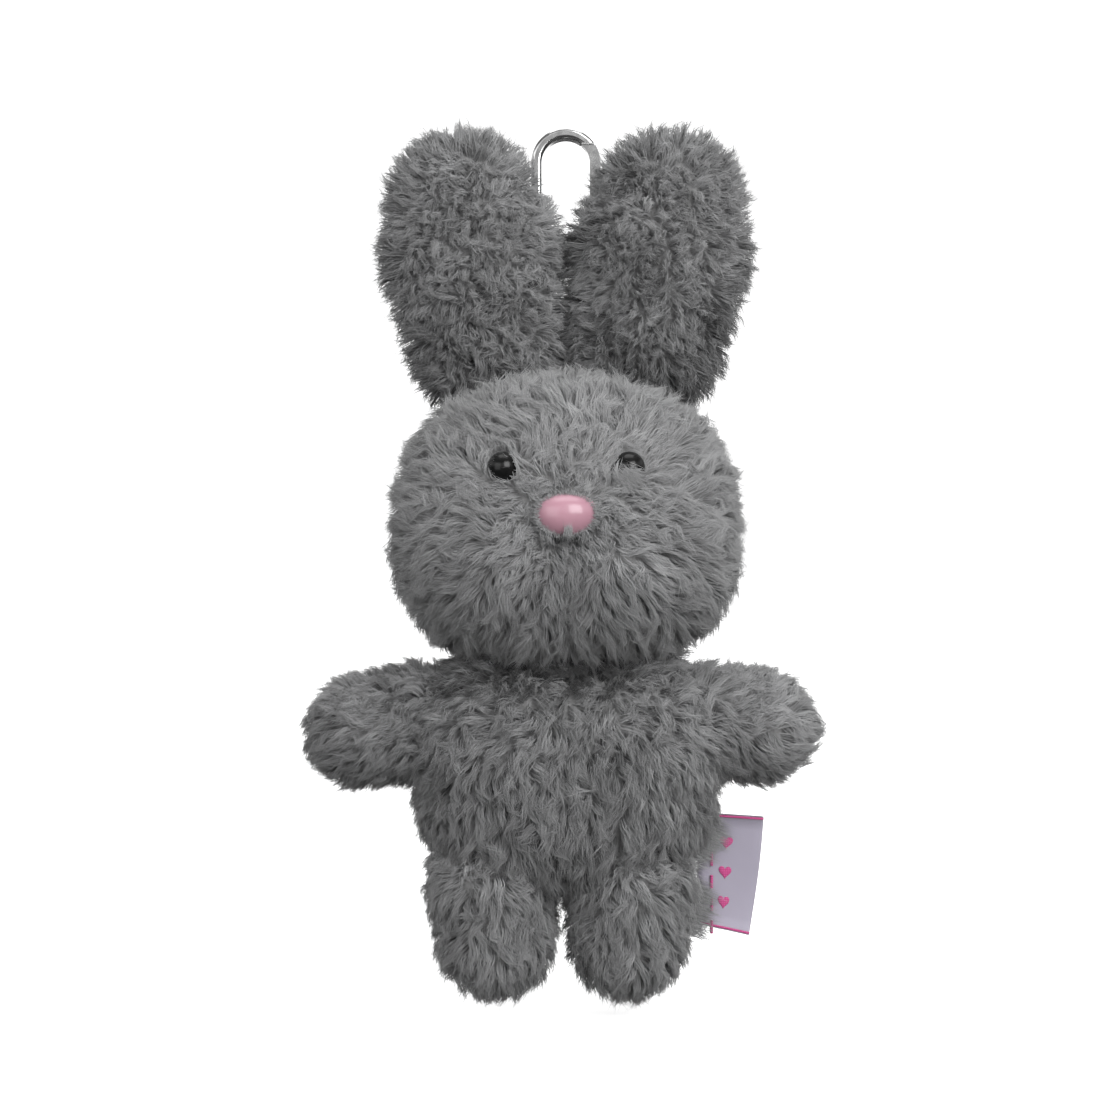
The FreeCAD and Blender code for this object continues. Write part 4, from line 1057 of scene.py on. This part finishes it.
def strip(name, path, across, thickness):
    """A flat band of even thickness along a path; across is the band's full width vector."""
    path = np.asarray(path, float)
    tangent = unit_rows(np.gradient(path, axis=0))
    normal = unit_rows(np.cross(tangent, np.broadcast_to(unit_rows(across), path.shape)))
    columns = 9
    points, faces = [], []
    for face in (-1, 1):
        for row in range(len(path)):
            for column in range(columns):
                share = column / (columns - 1) - 0.5
                points.append(path[row] + across * share + normal[row] * face * thickness / 2)
    layer = len(path) * columns

    def corner(face, row, column):
        return face * layer + row * columns + column

    for row in range(len(path) - 1):
        for column in range(columns - 1):
            quad = [corner(0, row, column), corner(0, row, column + 1)]
            quad += [corner(0, row + 1, column + 1), corner(0, row + 1, column)]
            faces.append(quad[::-1])
            faces.append([v + layer for v in quad])
        for column in (0, columns - 1):
            quad = [corner(0, row, column), corner(1, row, column)]
            quad += [corner(1, row + 1, column), corner(0, row + 1, column)]
            faces.append(quad if column else quad[::-1])
    for row in (0, len(path) - 1):
        for column in range(columns - 1):
            quad = [corner(0, row, column), corner(0, row, column + 1)]
            quad += [corner(1, row, column + 1), corner(1, row, column)]
            faces.append(quad[::-1] if row else quad)
    return new_mesh(name, points, faces)


RIBBON_THICKNESS = 0.55 * MM
RIBBON_PINCH = 0.55


def build_hang_loop():
    """A ribbon folded round the swivel eye's bar, its ends together in the head."""
    low, high = span("hang_loop")
    half = (high[1] - low[1]) / 2 - RIBBON_THICKNESS / 2
    middle = (low + high) / 2
    top = high[2] - (high[1] - low[1]) / 2

    def ply(sign, levels):
        """One side of the fold; the two sides draw together towards the head."""
        pinch = 1 - RIBBON_PINCH * (1 - (levels - low[2]) / (top - low[2]))
        return [[middle[0], middle[1] + sign * half * p, z] for p, z in zip(pinch, levels)]

    fold = [
        [middle[0], middle[1] + half * math.cos(a), top + half * math.sin(a)]
        for a in np.radians(np.linspace(180, 0, 12)[1:-1])
    ]
    path = ply(-1, np.linspace(low[2], top, 14)) + fold + ply(1, np.linspace(top, low[2], 14))
    width = np.array([high[0] - low[0], 0, 0])
    ribbon = strip("ribbon_loop", path, width, RIBBON_THICKNESS)
    bevel = ribbon.modifiers.new("edge", "BEVEL")
    bevel.width = RIBBON_THICKNESS * 0.2
    bevel.segments = 2
    bevel.limit_method = "ANGLE"
    wear(ribbon, "ribbon", "head", "ribbon", "hang_loop")


# The label's shape: one ply's thickness, its wave, how its far end drops, leans and rises
LABEL_PLY = 0.28 * MM
LABEL_WAVE = 0.7 * MM
LABEL_SKEW = 0.16
LABEL_LEAN = 2.3 * MM
LABEL_RISE = 2.0 * MM


def label_path(low, high, inset):
    """The folded tape seen from above: out along the front ply, round the fold and back."""
    middle = (low[1] + high[1]) / 2
    gap = (high[1] - low[1]) / 2 - inset
    far = high[0] - gap
    path = []
    root = low[0] - 1.6 * MM
    for share in np.linspace(0, 1, 9):
        path.append([root + (far - root) * share, middle - gap, 0])
    for angle in (-60, -30, 0, 30, 60):
        a = math.radians(angle)
        path.append([far + gap * math.cos(a), middle + gap * math.sin(a), 0])
    for share in np.linspace(1, 0, 9):
        path.append([root + (far - root) * share, middle + gap, 0])
    path = np.array(path)
    path[:, 2] = (low[2] + high[2]) / 2
    return path


def bend_label(points, low, high):
    """A gentle wave and a slight droop, stronger away from the seam."""
    out = np.clip((points[:, 0] - low[0]) / (high[0] - low[0]), 0, 1.2)
    level = (points[:, 2] - low[2]) / (high[2] - low[2])
    bent = points.copy()
    bent[:, 1] += LABEL_WAVE * np.sin(level * 4.2 + 0.6) * out
    bent[:, 1] -= 0.9 * MM * out**2
    bent[:, 2] += LABEL_RISE - LABEL_SKEW * (points[:, 0] - low[0]) * (1 - 0.7 * level)
    bent[:, 0] += (0.35 * MM * np.sin(level * 3.0) - LABEL_LEAN * (1 - level)) * out
    return bent


def thread(name, path, radius):
    """A round thread along a path, closed at both ends."""
    sides = 6
    path = np.asarray(path, float)
    tangent = unit_rows(np.gradient(path, axis=0))
    helper = np.array([0.3, 0.9, 0.2])
    side = unit_rows(np.cross(tangent, helper))
    up = np.cross(side, tangent)
    points, faces = [], []
    for row in range(len(path)):
        for j in range(sides):
            a = 2 * math.pi * j / sides
            points.append(path[row] + radius * (math.cos(a) * side[row] + math.sin(a) * up[row]))
    for row in range(len(path) - 1):
        for j in range(sides):
            a, b = row * sides + j, row * sides + (j + 1) % sides
            faces.append([a, b, b + sides, a + sides])
    faces.append(list(range(sides))[::-1])
    faces.append([(len(path) - 1) * sides + j for j in range(sides)])
    return new_mesh(name, points, faces)


def heart_outline(count):
    """A small generic heart, 1 unit tall, as points round its edge."""
    points = []
    for step in range(count):
        a = 2 * math.pi * step / count
        x = 16 * math.sin(a) ** 3
        z = 13 * math.cos(a) - 5 * math.cos(2 * a) - 2 * math.cos(3 * a) - math.cos(4 * a)
        points.append((x / 30, z / 30))
    return points


def heart(name, centre, size, y, depth):
    """A raised embroidered heart: a domed patch with its edge rounded down."""
    outline = heart_outline(28)
    rings = ((1.0, 0.0), (1.0, 0.55), (0.82, 0.9), (0.45, 1.0))
    points, faces = [], []
    for share, rise in rings:
        for x, z in outline:
            points.append([centre[0] + x * size * share, y - depth * rise,
                           centre[2] + z * size * share])
    count = len(outline)
    for ring in range(len(rings) - 1):
        for j in range(count):
            a, b = ring * count + j, ring * count + (j + 1) % count
            faces.append([a, b, b + count, a + count])
    faces.append([(len(rings) - 1) * count + j for j in range(count)])
    faces.append(list(range(count))[::-1])
    return new_mesh(name, points, faces)


def settle_on_label(obj, material, low, high):
    """Bends a piece with the label and lets it follow the label's fold."""
    obj.data.materials.append(MATERIALS[material])
    set_coordinates(obj.data, bend_label(vertex_rows(obj.data), low, high))
    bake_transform(obj)


def build_label():
    low, high = span("side_label")
    tape_width = np.array([0, 0, high[2] - low[2]])
    path = label_path(low, high, LABEL_PLY / 2)
    tape = strip("label_tape", path, tape_width, LABEL_PLY)
    settle_on_label(tape, "tape", low, high)
    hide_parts("side_label")
    for word, level in (("top", high[2] - 0.35 * MM), ("bottom", low[2] + 0.35 * MM)):
        edge = path.copy()
        edge[:, 2] = level
        outward = np.sign(edge[:, 1] - path[:, 1].mean())
        edge[:, 1] += outward * 0.16 * MM
        seam = thread(f"label_edge_{word}", edge, 0.2 * MM)
        settle_on_label(seam, "pink_thread", low, high)
    front = path[:, 1].min() - LABEL_PLY / 2
    for index, level in enumerate((0.24, 0.5, 0.76)):
        centre = np.array([low[0] + 0.36 * (high[0] - low[0]), 0, low[2] + level * tape_width[2]])
        patch = heart(f"label_heart_{index + 1}", centre, 2.2 * MM, front + 0.02 * MM, 0.2 * MM)
        settle_on_label(patch, "pink_thread", low, high)


# ---- studio


CAMERA_DISTANCE = 0.445
FRAME_WIDTH = 0.1887
SENSOR = 36.0
VIEW_CENTRE = np.array([-1.0, 0, 73.2]) * MM

# Name, place from the view's centre, size in metres, power in watts
LAMPS = (
    ("key", (0.30, -0.56, 0.26), 0.45, 4.0),
    ("fill", (-0.50, -0.58, 0.10), 0.60, 1.6),
    ("top", (0.0, 0.05, 0.62), 0.50, 1.5),
    ("back", (0.15, 0.55, 0.30), 0.60, 1.6),
)


def build_sweep():
    """A pale floor that curves up into a back wall."""
    floor_z = min(FEET - 1.6 * MM, float(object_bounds()[0][2]))
    rows = [(-1.4, 0.0), (0.55, 0.0)]
    for angle in range(10, 91, 10):
        a = math.radians(angle)
        rows.append((0.55 + 0.3 * math.sin(a), 0.3 * (1 - math.cos(a))))
    rows.append((0.85, 1.6))
    points = [(x, y, floor_z + z) for y, z in rows for x in (-1.6, 1.6)]
    faces = [[2 * i, 2 * i + 1, 2 * i + 3, 2 * i + 2] for i in range(len(rows) - 1)]
    sweep = new_mesh("studio_sweep", points, faces)
    material, _, _, shader = new_material("studio_white")
    shader.inputs["Base Color"].default_value = (0.86, 0.86, 0.86, 1)
    shader.inputs["Roughness"].default_value = 0.9
    shader.inputs["Specular IOR Level"].default_value = 0.0
    shader.inputs["Emission Color"].default_value = (1, 1, 1, 1)
    shader.inputs["Emission Strength"].default_value = 0.6
    sweep.data.materials.append(material)
    sweep.visible_glossy = False
    sweep.visible_diffuse = False


def build_studio():
    """The floor, four soft lamps and the camera straight in front."""
    build_sweep()
    build_world()
    middle = Vector(np.array([0, TORSO_MID[1], FEET]) + VIEW_CENTRE)
    for name, offset, size, power in LAMPS:
        data = bpy.data.lights.new(name, "AREA")
        data.size = size
        data.energy = power
        lamp = new_object(name, data)
        lamp.location = middle + Vector(offset)
        lamp.rotation_euler = (-Vector(offset)).to_track_quat("-Z", "Y").to_euler()
        lamp.visible_camera = False
    data = bpy.data.cameras.new("camera")
    data.sensor_width = SENSOR
    data.lens = SENSOR * CAMERA_DISTANCE / FRAME_WIDTH
    data.clip_start = 0.01
    camera = new_object("camera", data)
    camera.location = middle - Vector((0, CAMERA_DISTANCE, 0))
    camera.rotation_euler = (math.radians(90), 0, 0)
    bpy.context.scene.camera = camera
    bpy.context.scene.view_settings.view_transform = "Standard"


def build_world():
    """White to the camera; a soft grey room with darker bands for reflections."""
    world = bpy.data.worlds.new("studio")
    bpy.context.scene.world = world
    world.use_nodes = True
    nodes, links = world.node_tree.nodes, world.node_tree.links
    background = nodes["Background"]
    place = nodes.new("ShaderNodeTexCoord")
    parts = nodes.new("ShaderNodeSeparateXYZ")
    links.new(place.outputs["Generated"], parts.inputs[0])
    height = nodes.new("ShaderNodeMapRange")
    height.inputs["From Min"].default_value = -1
    links.new(parts.outputs["Z"], height.inputs["Value"])
    room = ramp(
        nodes, [(0.0, grey(0.28)), (0.45, grey(0.36)), (0.6, grey(0.52)), (1.0, grey(0.75))]
    )
    links.new(height.outputs[0], room.inputs[0])
    bands = ramp(nodes, [
        (0.0, grey(0.05)), (0.42, grey(0.10)), (0.52, grey(0.04)), (0.62, grey(0.9)),
        (0.72, grey(0.9)), (0.8, grey(0.08)), (1.0, grey(0.5)),
    ])
    links.new(height.outputs[0], bands.inputs[0])
    path = nodes.new("ShaderNodeLightPath")
    seen = mixed(nodes, links, "MIX", path.outputs["Is Glossy Ray"], room.outputs[0],
                 bands.outputs[0])
    colour = mixed(nodes, links, "MIX", path.outputs["Is Camera Ray"], seen, (1.0, 1.0, 1.0))
    links.new(colour, background.inputs["Color"])
    background.inputs["Strength"].default_value = 1.0


# ---- build


finish_cad_nodes()
build_head()
for ear_side in SIDES:
    build_ear(ear_side)
skins = {"torso": build_torso()}
for limb_kind in ("arm", "leg"):
    for limb_side in SIDES:
        skins[f"{limb_kind}_{limb_side}"] = build_limb(limb_kind, limb_side)
hide_label_seam(skins)
build_hang_loop()
build_label()
build_studio()
